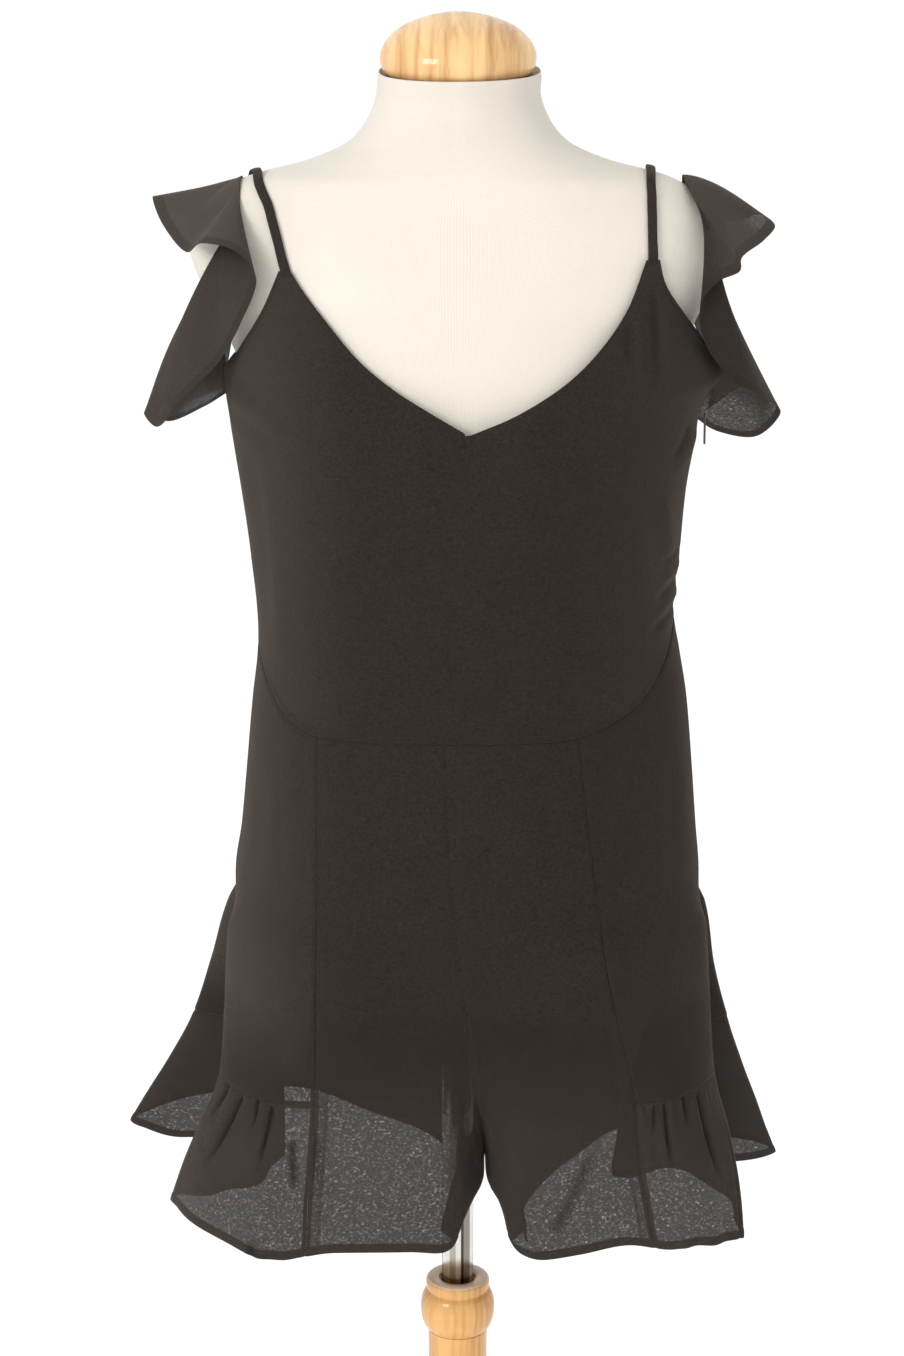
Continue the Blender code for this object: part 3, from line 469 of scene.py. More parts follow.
def ruled(length: float, pitch: float, near_start: Sequence[float] = (),
          near_end: Sequence[float] = ()) -> Array:
    """Shares of a length where a grid's lines lie, with extra lines close to its ends.

    Args:
        length: The whole length.
        pitch: Distance between the even lines.
        near_start: Distances of extra lines from the start.
        near_end: Distances of extra lines from the end.

    Returns:
        Rising shares from 0 to 1.
    """
    even = np.linspace(0.0, 1.0, max(int(length / pitch), 2) + 1)
    extra = [spot / length for spot in near_start] + [1.0 - spot / length for spot in near_end]
    lines = np.unique(np.round(np.concatenate((even, extra)), 5))
    kept = [lines[0]]
    for line in lines[1:]:
        if line - kept[-1] > 0.12 * pitch / length:
            kept.append(line)
    kept[-1] = 1.0
    return np.asarray(kept)


def swell(first: Array, second: Array, start: float) -> Array:
    """Slow uneven swells over two directions, between -1 and 1.

    Args:
        first: Distances one way, in millimetres.
        second: Distances the other way, in millimetres.
        start: Where the pattern starts.

    Returns:
        The swell at each place.
    """
    a = np.sin(first / 23.0 + 1.3 * np.sin(second / 61.0 + start) + start)
    b = np.sin(second / 37.0 + 1.1 * np.sin(first / 47.0 - start) + 2.0 * start)
    c = np.sin((first + 1.7 * second) / 83.0 + 3.0 * start)
    return (a * 0.4 + b * 0.35 + c * 0.25)


# ---------------------------------------------------------------- the dress form's shape
class FormShape:
    """The torso that the garment is worn on, as rounded sections."""

    def __init__(self) -> None:
        """Make a smooth track of each column of the form's table."""
        self.tracks = [Track.of(FORM_SECTIONS, column) for column in (1, 2, 3)]

    def section(self, height: Array) -> tuple[Array, Array, Array]:
        """Half width, front depth and back depth at heights."""
        height = np.clip(height, FORM_BOTTOM, NECK_TOP)
        return tuple(track.at(height) for track in self.tracks)

    @staticmethod
    def bust_rise(x: Array, height: Array) -> Array:
        """Extra front depth of the bust at widths and heights."""
        fall = np.where(height > BUST_HEIGHT, BUST_FALLS[0], BUST_FALLS[1])
        level = np.exp(-((height - BUST_HEIGHT) / fall) ** 2)
        sides = bell(x + BUST_OFFSET, BUST_WIDTH) + bell(x - BUST_OFFSET, BUST_WIDTH)
        return BUST_RISE * level * sides

    @staticmethod
    def plan(angle: Array, half_width: Array, front: Array, back: Array) -> tuple[Array, Array]:
        """Plan points of rounded sections.

        Args:
            angle: Angles in radians, the front at a quarter turn.
            half_width: Half widths.
            front: Front depths.
            back: Back depths.

        Returns:
            The points' x and y.
        """
        cosine, sine = np.cos(angle), np.sin(angle)
        power = 2.0 / ROUNDNESS
        x = np.sign(cosine) * np.abs(cosine) ** power * half_width
        depth = np.where(sine > 0.0, front, back)
        return x, -np.sign(sine) * np.abs(sine) ** power * depth

    def point(self, angle: Array, height: Array) -> Array:
        """Surface points of the torso with the neck's tilt.

        Args:
            angle: Angles in radians, the front at a quarter turn.
            height: Heights before the tilt.

        Returns:
            The points.
        """
        half_width, front, back = self.section(height)
        x, y = self.plan(angle, half_width, front, back)
        rise = self.bust_rise(x, height) * np.minimum(-y / front, 1.0) ** 2
        y = np.where(y < 0.0, y - rise, y)
        tilt = (math.tan(math.radians(NECK_TILT_FRONT)) * y
                + math.tan(math.radians(NECK_TILT_SIDE)) * x)
        lift = smooth_step(NECK_BASE, NECK_TOP, height) * tilt
        return np.stack((x, y, height + lift), axis=-1)

    def top(self, x: Array, y: Array) -> Array:
        """Height of the shoulders' upper surface over plan points."""
        low, high = (np.full(np.shape(x), end) for end in SHOULDER_RANGE)
        for _ in range(HALVINGS):
            middle = (low + high) / 2.0
            half_width, front, back = self.section(middle)
            depth = np.where(y < 0.0, front, back)
            reach = np.abs(x / half_width) ** ROUNDNESS + np.abs(y / depth) ** ROUNDNESS
            inside = reach < 1.0
            low, high = np.where(inside, middle, low), np.where(inside, high, middle)
        return low

    def clear(self, points: Array, clearance: float) -> Array:
        """Move cloth points away until they clear the torso.

        Args:
            points: Cloth points.
            clearance: Distance to keep from the torso.

        Returns:
            The moved points.
        """
        x, y, z = points[..., 0], points[..., 1], points[..., 2]
        half_width, front, back = self.section(z)
        depth = np.where(y < 0.0, front + self.bust_rise(x, z), back)
        wide, deep = half_width + clearance, depth + clearance
        ratio = (np.abs(x / wide) ** ROUNDNESS + np.abs(y / deep) ** ROUNDNESS) ** (1.0 / ROUNDNESS)
        near = (z > FORM_BOTTOM - 4.0) & (z < CLOTH_LIMIT) & (ratio < 1.0) & (ratio > 1e-6)
        scale = np.where(near, 1.0 / np.maximum(ratio, 1e-6), 1.0)
        outwards = np.stack((x * scale, y * scale, z), axis=-1)
        shoulder = near & (z >= SHOULDER_LEVEL)
        if not shoulder.any():
            return outwards
        upwards = np.stack((x, y, self.top(x, y) + clearance), axis=-1)
        far_out = np.linalg.norm(outwards - points, axis=-1)
        far_up = np.linalg.norm(upwards - points, axis=-1)
        rise = shoulder & (far_up < far_out)
        return np.where(rise[..., None], upwards, outwards)


# ---------------------------------------------------------------- the garment's shape
class GarmentShape:
    """The worn garment's outer surface, by station round each half and by height."""

    LAST = len(STATIONS) - 1

    def __init__(self, form: FormShape) -> None:
        """Make smooth tracks of every station.

        Args:
            form: The torso that the garment is worn on.
        """
        self.form = form
        self.sections = [Track.of(CLOTH_SECTIONS, column) for column in range(1, 6)]
        self.tracks = {side: [self._station_tracks(side, index) for index in range(self.LAST + 1)]
                       for side in Side}

    def _section_station(self, side: Side, index: int, height: float) -> tuple[float, float]:
        """Plan point of a station on the upper sections."""
        centre, left, right, front, back = (float(track.at(height)) for track in self.sections)
        half_width = centre - left if side is Side.LEFT else right - centre
        angle = math.radians(STATION_ANGLES[side][index])
        if STATIONS[index] == "princess" and height < PRINCESS_TOP:
            away = abs(float(Track.of(PRINCESS_LINES[side]).at(height)) - centre) / half_width
            angle = math.acos(away ** (ROUNDNESS / 2.0))
        x, y = FormShape.plan(np.float64(angle), half_width, front, back)
        x = centre + side.sign * float(x)
        y = float(y)
        if y < 0.0:
            y -= float(FormShape.bust_rise(x, height)) * min(-y / front, 1.0) ** 2
        return x, y

    def _station_tracks(self, side: Side, index: int) -> tuple[Track, Track]:
        """Tracks of a station's x and y from the top of the cloth to the hem."""
        rows = [(row[0],) + self._section_station(side, index, row[0]) for row in CLOTH_SECTIONS]
        if index == 0:
            rows += list(CENTRE_FRONT) + list(INSEAMS[side])
        elif index == self.LAST:
            rows += list(CENTRE_BACK) + list(INSEAMS[side])
        else:
            rows += [(row[0],) + row[index] for row in LEG_SECTIONS[side]]
        return Track.of(rows), Track.of(rows, 2)

    def stations(self, side: Side, height: Array) -> Array:
        """Points of all stations of a half at heights, stations first."""
        return np.stack([np.stack((x.at(height), y.at(height), height), axis=-1)
                         for x, y in self.tracks[side]])

    def plain(self, side: Side, position: Array, height: Array) -> Array:
        """Points of the surface.

        Args:
            side: The half of the garment.
            position: Places round the half, 0 at the centre front and 10 at the centre back.
            height: Heights.

        Returns:
            The points, in millimetres.
        """
        shape = np.shape(height)
        position, height = np.ravel(position), np.ravel(height)
        here, other = self.stations(side, height), self.stations(side.other, height)
        tube = smooth_step(LEGS_APART, CROTCH_HEIGHT, height)[:, None]
        wrap_front = np.stack((here[1][:, 0], here[-2][:, 1], height), axis=-1)
        wrap_back = np.stack((here[-2][:, 0], here[1][:, 1], height), axis=-1)
        # The real neighbours past the centre seams turn into the inside of one leg further down.
        first = other[1] + (wrap_front - other[1]) * tube
        last = other[-2] + (wrap_back - other[-2]) * tube
        ring = np.concatenate((first[None], here, last[None]))
        index = np.clip(position.astype(int), 0, self.LAST - 1)
        row = np.arange(len(height))
        points = spline(ring[index, row], ring[index + 1, row], ring[index + 2, row],
                        ring[index + 3, row], position - index)
        return points.reshape(shape + (3,))

    def surface(self, side: Side, position: Array, height: Array) -> tuple[Array, Array]:
        """Points of the surface and their outward normals.

        Args:
            side: The half of the garment.
            position: Places round the half.
            height: Heights.

        Returns:
            The points and the normals.
        """
        step, drop = 0.02, 2.0
        ahead = self.plain(side, np.minimum(position + step, self.LAST), height)
        back = self.plain(side, np.maximum(position - step, 0.0), height)
        low = self.plain(side, position, height - drop)
        high = self.plain(side, position, height + drop)
        normal = unit(np.cross(low - high, ahead - back)) * side.sign
        return self.plain(side, position, height), normal

    def place_at(self, side: Side, x: Array, height: Array, low: float, high: float) -> Array:
        """Places round the half, between two stations, where the surface reaches x.

        Args:
            side: The half of the garment.
            x: Widths to reach.
            height: Heights.
            low: The lowest place.
            high: The highest place.

        Returns:
            One place for each width.
        """
        first, last = np.full(x.shape, low), np.full(x.shape, high)
        rising = self.plain(side, last, height)[..., 0] > self.plain(side, first, height)[..., 0]
        for _ in range(HALVINGS):
            middle = (first + last) / 2.0
            short = (self.plain(side, middle, height)[..., 0] < x) == rising
            first, last = np.where(short, middle, first), np.where(short, last, middle)
        return (first + last) / 2.0

    @staticmethod
    def waist(side: Side, position: Array) -> Array:
        """Heights of the curved waist seam."""
        at_side = WAIST_SIDE_LEFT if side is Side.LEFT else WAIST_SIDE_RIGHT
        front = at_side + (WAIST_FRONT - at_side) * smooth_step(SIDE_STATION, 1.6, position)
        back = at_side + (WAIST_BACK - at_side) * smooth_step(SIDE_STATION, 9.0, position)
        return np.where(position < SIDE_STATION, front, back)

    @staticmethod
    def hem(side: Side, position: Array) -> Array:
        """Heights of the hem."""
        return Track.of(HEM_HEIGHTS[side]).at(position)


# ---------------------------------------------------------------- creases
@dataclass(frozen=True)
class Crease:
    """A soft ridge or trough between two spots of the cloth, by x and height."""

    start: tuple[float, float]
    end: tuple[float, float]
    width: float
    rise: float
    bow: float = 0.0
    # Share of the length over which it starts and over which it fades out.
    enter: float = 0.25
    leave: float = 0.4

    def at(self, x: Array, height: Array) -> Array:
        """Rise of the cloth at places.

        Args:
            x: Widths.
            height: Heights.

        Returns:
            The rise at each place, in millimetres.
        """
        way = np.subtract(self.end, self.start)
        length = float(np.hypot(*way))
        way = way / length
        from_x, from_z = x - self.start[0], height - self.start[1]
        share = (from_x * way[0] + from_z * way[1]) / length
        aside = from_z * way[0] - from_x * way[1] - self.bow * 4.0 * share * (1.0 - share)
        taper = smooth_step(0.0, self.enter, share) * smooth_step(1.0, 1.0 - self.leave, share)
        return self.rise * taper * bell(aside, self.width)


# Troughs that are wider than this don't press the cloth together.
CROWDED_WIDTH = 4.5


def crowding(creases: Sequence[Crease], points: Array) -> Array:
    """How tightly the cloth is pressed together in its troughs, from 0 to 1.

    Args:
        creases: The creases, of which the ridges are left out.
        points: Points of the cloth.

    Returns:
        The share at each point.
    """
    total = np.zeros(points.shape[:-1])
    for crease in creases:
        if crease.rise < 0.0 and crease.width < CROWDED_WIDTH:
            total += crease.at(points[..., 0], points[..., 2]) / min(crease.rise, -1.6)
    return np.clip(total, 0.0, 1.0)


def relief(creases: Sequence[Crease], points: Array) -> Array:
    """Add up the creases at points.

    Args:
        creases: The creases.
        points: Points of the cloth.

    Returns:
        How far each point moves out along its normal.
    """
    total = np.zeros(points.shape[:-1])
    for crease in creases:
        total += crease.at(points[..., 0], points[..., 2])
    return total


# ---------------------------------------------------------------- finishes
Level = Union["Channel", float]


def joined(operation: str, turned: bool = False) -> Callable[..., "Channel"]:
    """Make a method that joins a channel and another value by a Math node.

    Args:
        operation: The node's operation.
        turned: Whether the other value comes first.

    Returns:
        The method.
    """
    def method(self: "Channel", other: Level = 0.0) -> "Channel":
        first, second = (other, self) if turned else (self, other)
        made = self.recipe.node("ShaderNodeMath", {"operation": operation}, {0: first, 1: second})
        return Channel(self.recipe, made.outputs[0])

    return method


class Channel:
    """A number that varies over a surface; Python's operators add Math nodes to it."""

    def __init__(self, recipe: "Recipe", socket: bpy.types.NodeSocket) -> None:
        """Wrap an output socket of a recipe."""
        self.recipe = recipe
        self.socket = socket

    __add__, __radd__ = joined("ADD"), joined("ADD", True)
    __sub__, __rsub__ = joined("SUBTRACT"), joined("SUBTRACT", True)
    __mul__, __rmul__ = joined("MULTIPLY"), joined("MULTIPLY", True)
    __truediv__, __pow__ = joined("DIVIDE"), joined("POWER")
    # The smaller and the larger of two values.
    least, most = joined("MINIMUM"), joined("MAXIMUM")
    # Angle of the direction whose parts are another value and this one, and the sine.
    turn, wave = joined("ARCTAN2"), joined("SINE")

    def step(self, low: float, high: float) -> "Channel":
        """Rise from 0 at low to 1 at high along an S curve."""
        made = self.recipe.node("ShaderNodeMapRange", {"interpolation_type": "SMOOTHSTEP"},
                                {0: self, 1: low, 2: high, 3: 0.0, 4: 1.0})
        return Channel(self.recipe, made.outputs[0])

    def span(self, low: float, high: float) -> "Channel":
        """Turn 0 to 1 into low to high."""
        return self * (high - low) + low


Colour = tuple[float, float, float]
# Fineness of a metal's turning marks and of its wear, for each metre.
TURNING_SCALE = 2600.0
WEAR_SCALE = 60.0


class Recipe:
    """One material with its nodes."""

    def __init__(self, name: str) -> None:
        """Start an empty material with its shader.

        Args:
            name: The material's name.
        """
        self.material = bpy.data.materials.new(name)
        self.material.use_nodes = True
        self.tree = self.material.node_tree
        self.shader = self.tree.nodes["Principled BSDF"]

    def node(self, kind: str, settings: Optional[dict] = None,
             inputs: Optional[dict] = None) -> bpy.types.Node:
        """Add a node.

        Args:
            kind: The node's type.
            settings: Its settings, which are set first.
            inputs: Values or links of its sockets, by name or number.

        Returns:
            The node.
        """
        made = self.tree.nodes.new(kind)
        for key, value in (settings or {}).items():
            setattr(made, key, value)
        for key, value in (inputs or {}).items():
            self.feed(made.inputs[key], value)
        return made

    def feed(self, socket: bpy.types.NodeSocket, value: Any) -> None:
        """Link or set one socket."""
        if isinstance(value, Channel):
            self.tree.links.new(value.socket, socket)
        elif isinstance(value, bpy.types.NodeSocket):
            self.tree.links.new(value, socket)
        else:
            socket.default_value = value

    def place(self) -> bpy.types.NodeSocket:
        """Object coordinates, in metres."""
        return self.node("ShaderNodeTexCoord").outputs["Object"]

    def parts(self, vector: bpy.types.NodeSocket) -> tuple[Channel, Channel, Channel]:
        """The three numbers of a vector."""
        split = self.node("ShaderNodeSeparateXYZ", None, {0: vector})
        return tuple(Channel(self, output) for output in split.outputs)

    def map_of(self, name: str) -> tuple[Channel, Channel]:
        """The two numbers of a UV map of the piece."""
        first, second, _ = self.parts(self.node("ShaderNodeUVMap", {"uv_map": name}).outputs[0])
        return first, second

    def vector(self, x: Level, y: Level, z: Level) -> bpy.types.NodeSocket:
        """A vector of three numbers."""
        return self.node("ShaderNodeCombineXYZ", None, {0: x, 1: y, 2: z}).outputs[0]

    def noise(self, at: bpy.types.NodeSocket, scale: float, detail: float = 2.0,
              rough: float = 0.5) -> Channel:
        """Soft noise around 0.5 with the given scale per metre."""
        made = self.node("ShaderNodeTexNoise", None,
                         {"Vector": at, "Scale": scale, "Detail": detail, "Roughness": rough})
        return Channel(self, made.outputs[0])

    def wear(self) -> tuple[Channel, Channel]:
        """Fine turning marks and larger clouds of bare metal."""
        at = self.place()
        x, y, z = self.parts(at)
        marks = self.noise(self.vector(x * 0.1, y * 0.1, z), TURNING_SCALE, 2.0)
        return marks, self.noise(at, WEAR_SCALE, 3.0, 0.6)

    def blend(self, share: Level, first: Any, second: Any) -> bpy.types.NodeSocket:
        """Mix two colours."""
        def full(colour: Any) -> Any:
            return colour + (1.0,) if isinstance(colour, tuple) else colour

        made = self.node("ShaderNodeMix", {"data_type": "RGBA"},
                         {0: share, 6: full(first), 7: full(second)})
        return made.outputs[2]

    def bump(self, height: Channel, distance: float, strength: float = 1.0,
             over: Optional[bpy.types.NodeSocket] = None) -> bpy.types.NodeSocket:
        """Tilt the surface by a height in metres times the distance."""
        inputs = {"Height": height, "Distance": distance, "Strength": strength}
        if over is not None:
            inputs["Normal"] = over
        return self.node("ShaderNodeBump", None, inputs).outputs[0]

    def done(self, **sockets: Any) -> bpy.types.Material:
        """Set the shader's sockets by name, with spaces written as underscores."""
        for name, value in sockets.items():
            if isinstance(value, tuple):
                value = value + (1.0,)
            self.feed(self.shader.inputs[name.replace("_", " ")], value)
        return self.material


@dataclass(frozen=True)
class Crepe:
    """Black slightly sheer crepe with double cloth in its hems and seams, and painted light and
    painted shade in its colour.
    """

    name: str
    thread: Colour = (0.0165, 0.0133, 0.0110)
    bright_thread: Colour = (0.036, 0.0298, 0.0255)
    # Share of the light that one and that two layers let through.
    single: float = 0.062
    double: float = 0.006
    grain: float = 0.9
    # Fineness of the pebbles, the slubs and the clouds, for each metre.
    pebble_scale: float = 660.0
    slub_scale: float = 2400.0
    cloud_scale: float = 45.0
    # How much of the grain is open between the threads, and what is left of it in double cloth.
    opening: float = 0.33
    double_grain: float = 0.08
    # Share by which pressed troughs close.
    press_closes: float = 0.62
    # Painted light: tone of cloth that light gets through from behind.
    lit_thread: Colour = (0.091, 0.077, 0.067)
    # Painted shade at the bottom of pressed troughs, and its share.
    shadow: Colour = (0.004, 0.0032, 0.0025)
    trough: float = 0.7

    def make(self) -> bpy.types.Material:
        """Build the material."""
        recipe = Recipe(self.name)
        at = recipe.place()
        near_side, near_end = recipe.map_of("near")
        far_side, far_end = recipe.map_of("far")
        edge = near_side.least(near_end).least(far_side.least(far_end))
        double = 1.0 - edge.step(0.94, 1.06)
        press, strip = recipe.map_of("press")
        allowance = (1.0 - strip.step(0.97, 1.04)) * (strip.step(0.62, 0.86) * 0.28 + 0.24)
        # The backed map's second number is painted light, which double cloth takes less of.
        backed, lit = recipe.map_of("backed")
        double = double.most(allowance).most(press * self.press_closes)
        lit = lit * (1.0 - double * 0.4)
        double = double.most(backed)
        x, y, z = recipe.parts(at)
        pebble = recipe.noise(recipe.vector(x * 0.7, y * 0.7, z), self.pebble_scale, 2.0, 0.62)
        slub = recipe.noise(at, self.slub_scale, 1.0, 0.5)
        cloud = recipe.noise(at, self.cloud_scale, 3.0, 0.6)
        openness = (pebble - 0.53).most(0.0) * 6.4 + (slub - 0.5) * 0.9 - 0.22
        face_single, face_double = 1.0 - self.single ** 0.5, 1.0 - self.double ** 0.5
        alpha = face_single + double * (face_double - face_single)
        grain = openness * (1.0 - double * (1.0 - self.double_grain)) * self.opening * self.grain
        alpha = (alpha - grain).least(0.99).most(0.4)
        shine = (pebble - 0.5) * 1.6 + (cloud - 0.5) * 0.25 + 0.35
        colour = recipe.blend(shine.most(0.0).least(1.0), self.thread, self.bright_thread)
        # Painted light lifts the tone towards the lit thread colour.
        colour = recipe.blend(lit, colour, self.lit_thread)
        # Painted shade darkens pressed troughs towards the shadow tone.
        colour = recipe.blend(press * self.trough, colour, self.shadow)
        weave = recipe.bump(pebble, 0.0010, 0.55)
        weave = recipe.bump(slub, 0.0004, 0.5, weave)
        return recipe.done(Base_Color=colour, Roughness=pebble.span(0.75, 0.95), Alpha=alpha,
                           Normal=weave, Sheen_Weight=0.10, Sheen_Roughness=0.4,
                           Sheen_Tint=(0.80, 0.66, 0.56), Specular_IOR_Level=0.05)


@dataclass(frozen=True)
class Jersey:
    """Cream rib jersey stretched over the dress form."""

    name: str
    yarn: Colour = (0.70, 0.652, 0.575)
    shade: Colour = (0.61, 0.560, 0.48)
    # Ribs of the knit in each metre round the form.
    ribs: float = 900.0
    # Fineness of the ribs' wobble, the fluff and the patches, for each metre.
    wobble_scale: float = 220.0
    fluff_scale: float = 1500.0
    patch_scale: float = 18.0

    def make(self) -> bpy.types.Material:
        """Build the material."""
        recipe = Recipe(self.name)
        at = recipe.place()
        around, up = recipe.map_of("near")
        wobble = recipe.noise(at, self.wobble_scale, 2.0)
        rib = (around * (self.ribs * math.tau) + wobble * 2.4).wave()
        stitch = (up * (self.ribs * 0.8 * math.tau) + wobble * 1.5).wave()
        fluff = recipe.noise(at, self.fluff_scale, 2.0, 0.7)
        patch = recipe.noise(at, self.patch_scale, 3.0, 0.6)
        tone = (rib * 0.20 + fluff * 0.35 + (patch - 0.5) * 0.55 + 0.08).most(0.0).least(1.0)
        colour = recipe.blend(tone, self.yarn, self.shade)
        knit = recipe.bump(rib * 0.5 + stitch * 0.25, 0.00022, 0.5)
        knit = recipe.bump(fluff, 0.0005, 0.4, knit)
        return recipe.done(Base_Color=colour, Roughness=fluff.span(0.82, 0.98), Normal=knit,
                           Sheen_Weight=0.2, Sheen_Roughness=0.5, Specular_IOR_Level=0.2)


class Grain(Enum):
    """How the wood's grain runs through a turned piece."""

    UPRIGHT = "upright"
    ACROSS = "across"


@dataclass(frozen=True)
class Pine:
    """Varnished pine with soft and hard rings."""

    name: str
    grain: Grain = Grain.UPRIGHT
    pale: Colour = (0.75, 0.475, 0.205)
    ring: Colour = (0.42, 0.18, 0.05)
    end_grain: Colour = (0.90, 0.68, 0.48)
    # How much the grain changes from front to back.
    sawn: float = 1.0
    # Rings in each metre across the grain.
    rings: float = 84.0
    # Height of the cut top face, in metres, which shows paler end grain.
    cut_top: float = 9.0
    # Fineness of the rings' drift, the pores and the streaks, for each metre.
    drift_scale: float = 13.0
    pore_scale: float = 260.0
    streak_scale: float = 70.0

    def make(self) -> bpy.types.Material:
        """Build the material."""
        recipe = Recipe(self.name)
        x, y, z = recipe.parts(recipe.place())
        if self.grain is Grain.ACROSS:
            z, y = y, z
        y = y * self.sawn
        slow = recipe.vector(x, y, z * 0.22)
        drift = recipe.noise(slow, self.drift_scale, 2.0)
        fine = recipe.noise(recipe.vector(x, y, z * 0.06), self.pore_scale, 3.0, 0.6)
        depth = (x * 0.97 + y * 0.24 + drift * 0.040) * (self.rings * math.tau)
        ring = (depth.wave() * 0.5 + 0.5) ** 2.6
        streak = recipe.noise(recipe.vector(x, y, z * 0.10), self.streak_scale, 2.0, 0.5)
        line = ((streak * 7.0 * math.tau).wave() * 0.5 + 0.5) ** 6.0
        tone = (ring * 0.26 + line * 0.16 + (fine - 0.5) * 0.9 + (streak - 0.5) * 1.5
                + (drift - 0.5) * 0.7 + 0.20).most(0.0).least(1.0)
        colour = recipe.blend(tone, self.pale, self.ring)
        on_top = z.step(self.cut_top - 0.0012, self.cut_top - 0.0004)
        colour = recipe.blend(on_top * (1.0 - tone * 0.35), colour, self.end_grain)
        pores = recipe.bump(fine, 0.0006, 0.12)
        return recipe.done(Base_Color=colour, Roughness=fine.span(0.30, 0.42), Normal=pores,
                           Coat_Weight=0.5, Coat_Roughness=0.04, Specular_IOR_Level=0.2)


@dataclass(frozen=True)
class Metal:
    """Bare or dark metal with fine turning marks and light wear."""

    name: str
    colour: Colour = (0.78, 0.77, 0.75)
    worn: Colour = (0.60, 0.59, 0.57)
    rough: float = 0.10
    rougher: float = 0.24

    def make(self) -> bpy.types.Material:
        """Build the material."""
        recipe = Recipe(self.name)
        marks, cloud = recipe.wear()
        tone = ((cloud - 0.4) * 2.2 + (marks - 0.5) * 0.5).most(0.0).least(1.0)
        return recipe.done(Base_Color=recipe.blend(tone, self.colour, self.worn), Metallic=1.0,
                           Roughness=(cloud * 0.7 + marks * 0.3).span(self.rough, self.rougher),
                           Normal=recipe.bump(marks, 0.00005, 0.3))


@dataclass(frozen=True)
class Chrome:
    """Polished tube with painted reflections: the soft dark bands that a room leaves along it."""

    name: str
    bright: Colour = (0.74, 0.72, 0.69)
    worn: Colour = (0.50, 0.49, 0.47)
    # Tones of the painted reflections.
    dark: Colour = (0.075, 0.055, 0.040)
    grey: Colour = (0.21, 0.185, 0.165)
    olive: Colour = (0.36, 0.345, 0.27)
    # Each painted reflection band comes as many times round the tube.
    bands: float = 3.0
    # Middle of the painted dark, grey and olive reflection bands, in radians.
    dark_reflection_angle: float = -1.27
    grey_reflection_angle: float = -0.94
    olive_reflection_angle: float = -1.90

    def make(self) -> bpy.types.Material:
        """Build the material."""
        recipe = Recipe(self.name)
        marks, cloud = recipe.wear()
        x, y, _ = recipe.parts(recipe.place())
        angle = y.turn(x)
        colour = recipe.blend((cloud - 0.4).most(0.0) * 1.2, self.bright, self.worn)
        # Painted reflections of the room as bands round the tube.
        for tone, middle, low, high, share in (
                (self.olive, self.olive_reflection_angle, 0.74, 0.90, 0.85),
                (self.grey, self.grey_reflection_angle, 0.66, 0.84, 0.9),
                (self.dark, self.dark_reflection_angle, 0.93, 0.985, 1.0)):
            band = ((angle - middle) * self.bands + math.pi / 2.0).wave().step(low, high)
            colour = recipe.blend(band * share, colour, tone)
        return recipe.done(Base_Color=colour, Metallic=1.0,
                           Roughness=(cloud * 0.7 + marks * 0.3).span(0.12, 0.28),
                           Normal=recipe.bump(marks, 0.00005, 0.3))


@dataclass(frozen=True)
class Paper:
    """Plain pale floor."""

    name: str
    colour: Colour = (0.93, 0.93, 0.93)
    glow: float = 0.12

    def make(self) -> bpy.types.Material:
        """Build the material."""
        recipe = Recipe(self.name)
        mottle = recipe.noise(recipe.place(), 3.0, 2.0)
        darker = tuple(part * 0.985 for part in self.colour)
        return recipe.done(Base_Color=recipe.blend(mottle, self.colour, darker), Roughness=0.9,
                           Emission_Color=(1.0, 1.0, 1.0), Emission_Strength=self.glow)


# ---------------------------------------------------------------- meshes
# What the map of a pressed allowance says where there is none.
NO_STRIP = 9.0
# Points nearer than this, in metres, are one point; edges sharper than this stay sharp.
JOIN_DISTANCE = 0.000002
SHARP_ANGLE = math.radians(50.0)


class Edge(Enum):
    """How one edge of a cut piece is finished."""

    SEAM = "seam"
    CENTRE = "centre"
    HEM = "hem"
    BOUND = "bound"


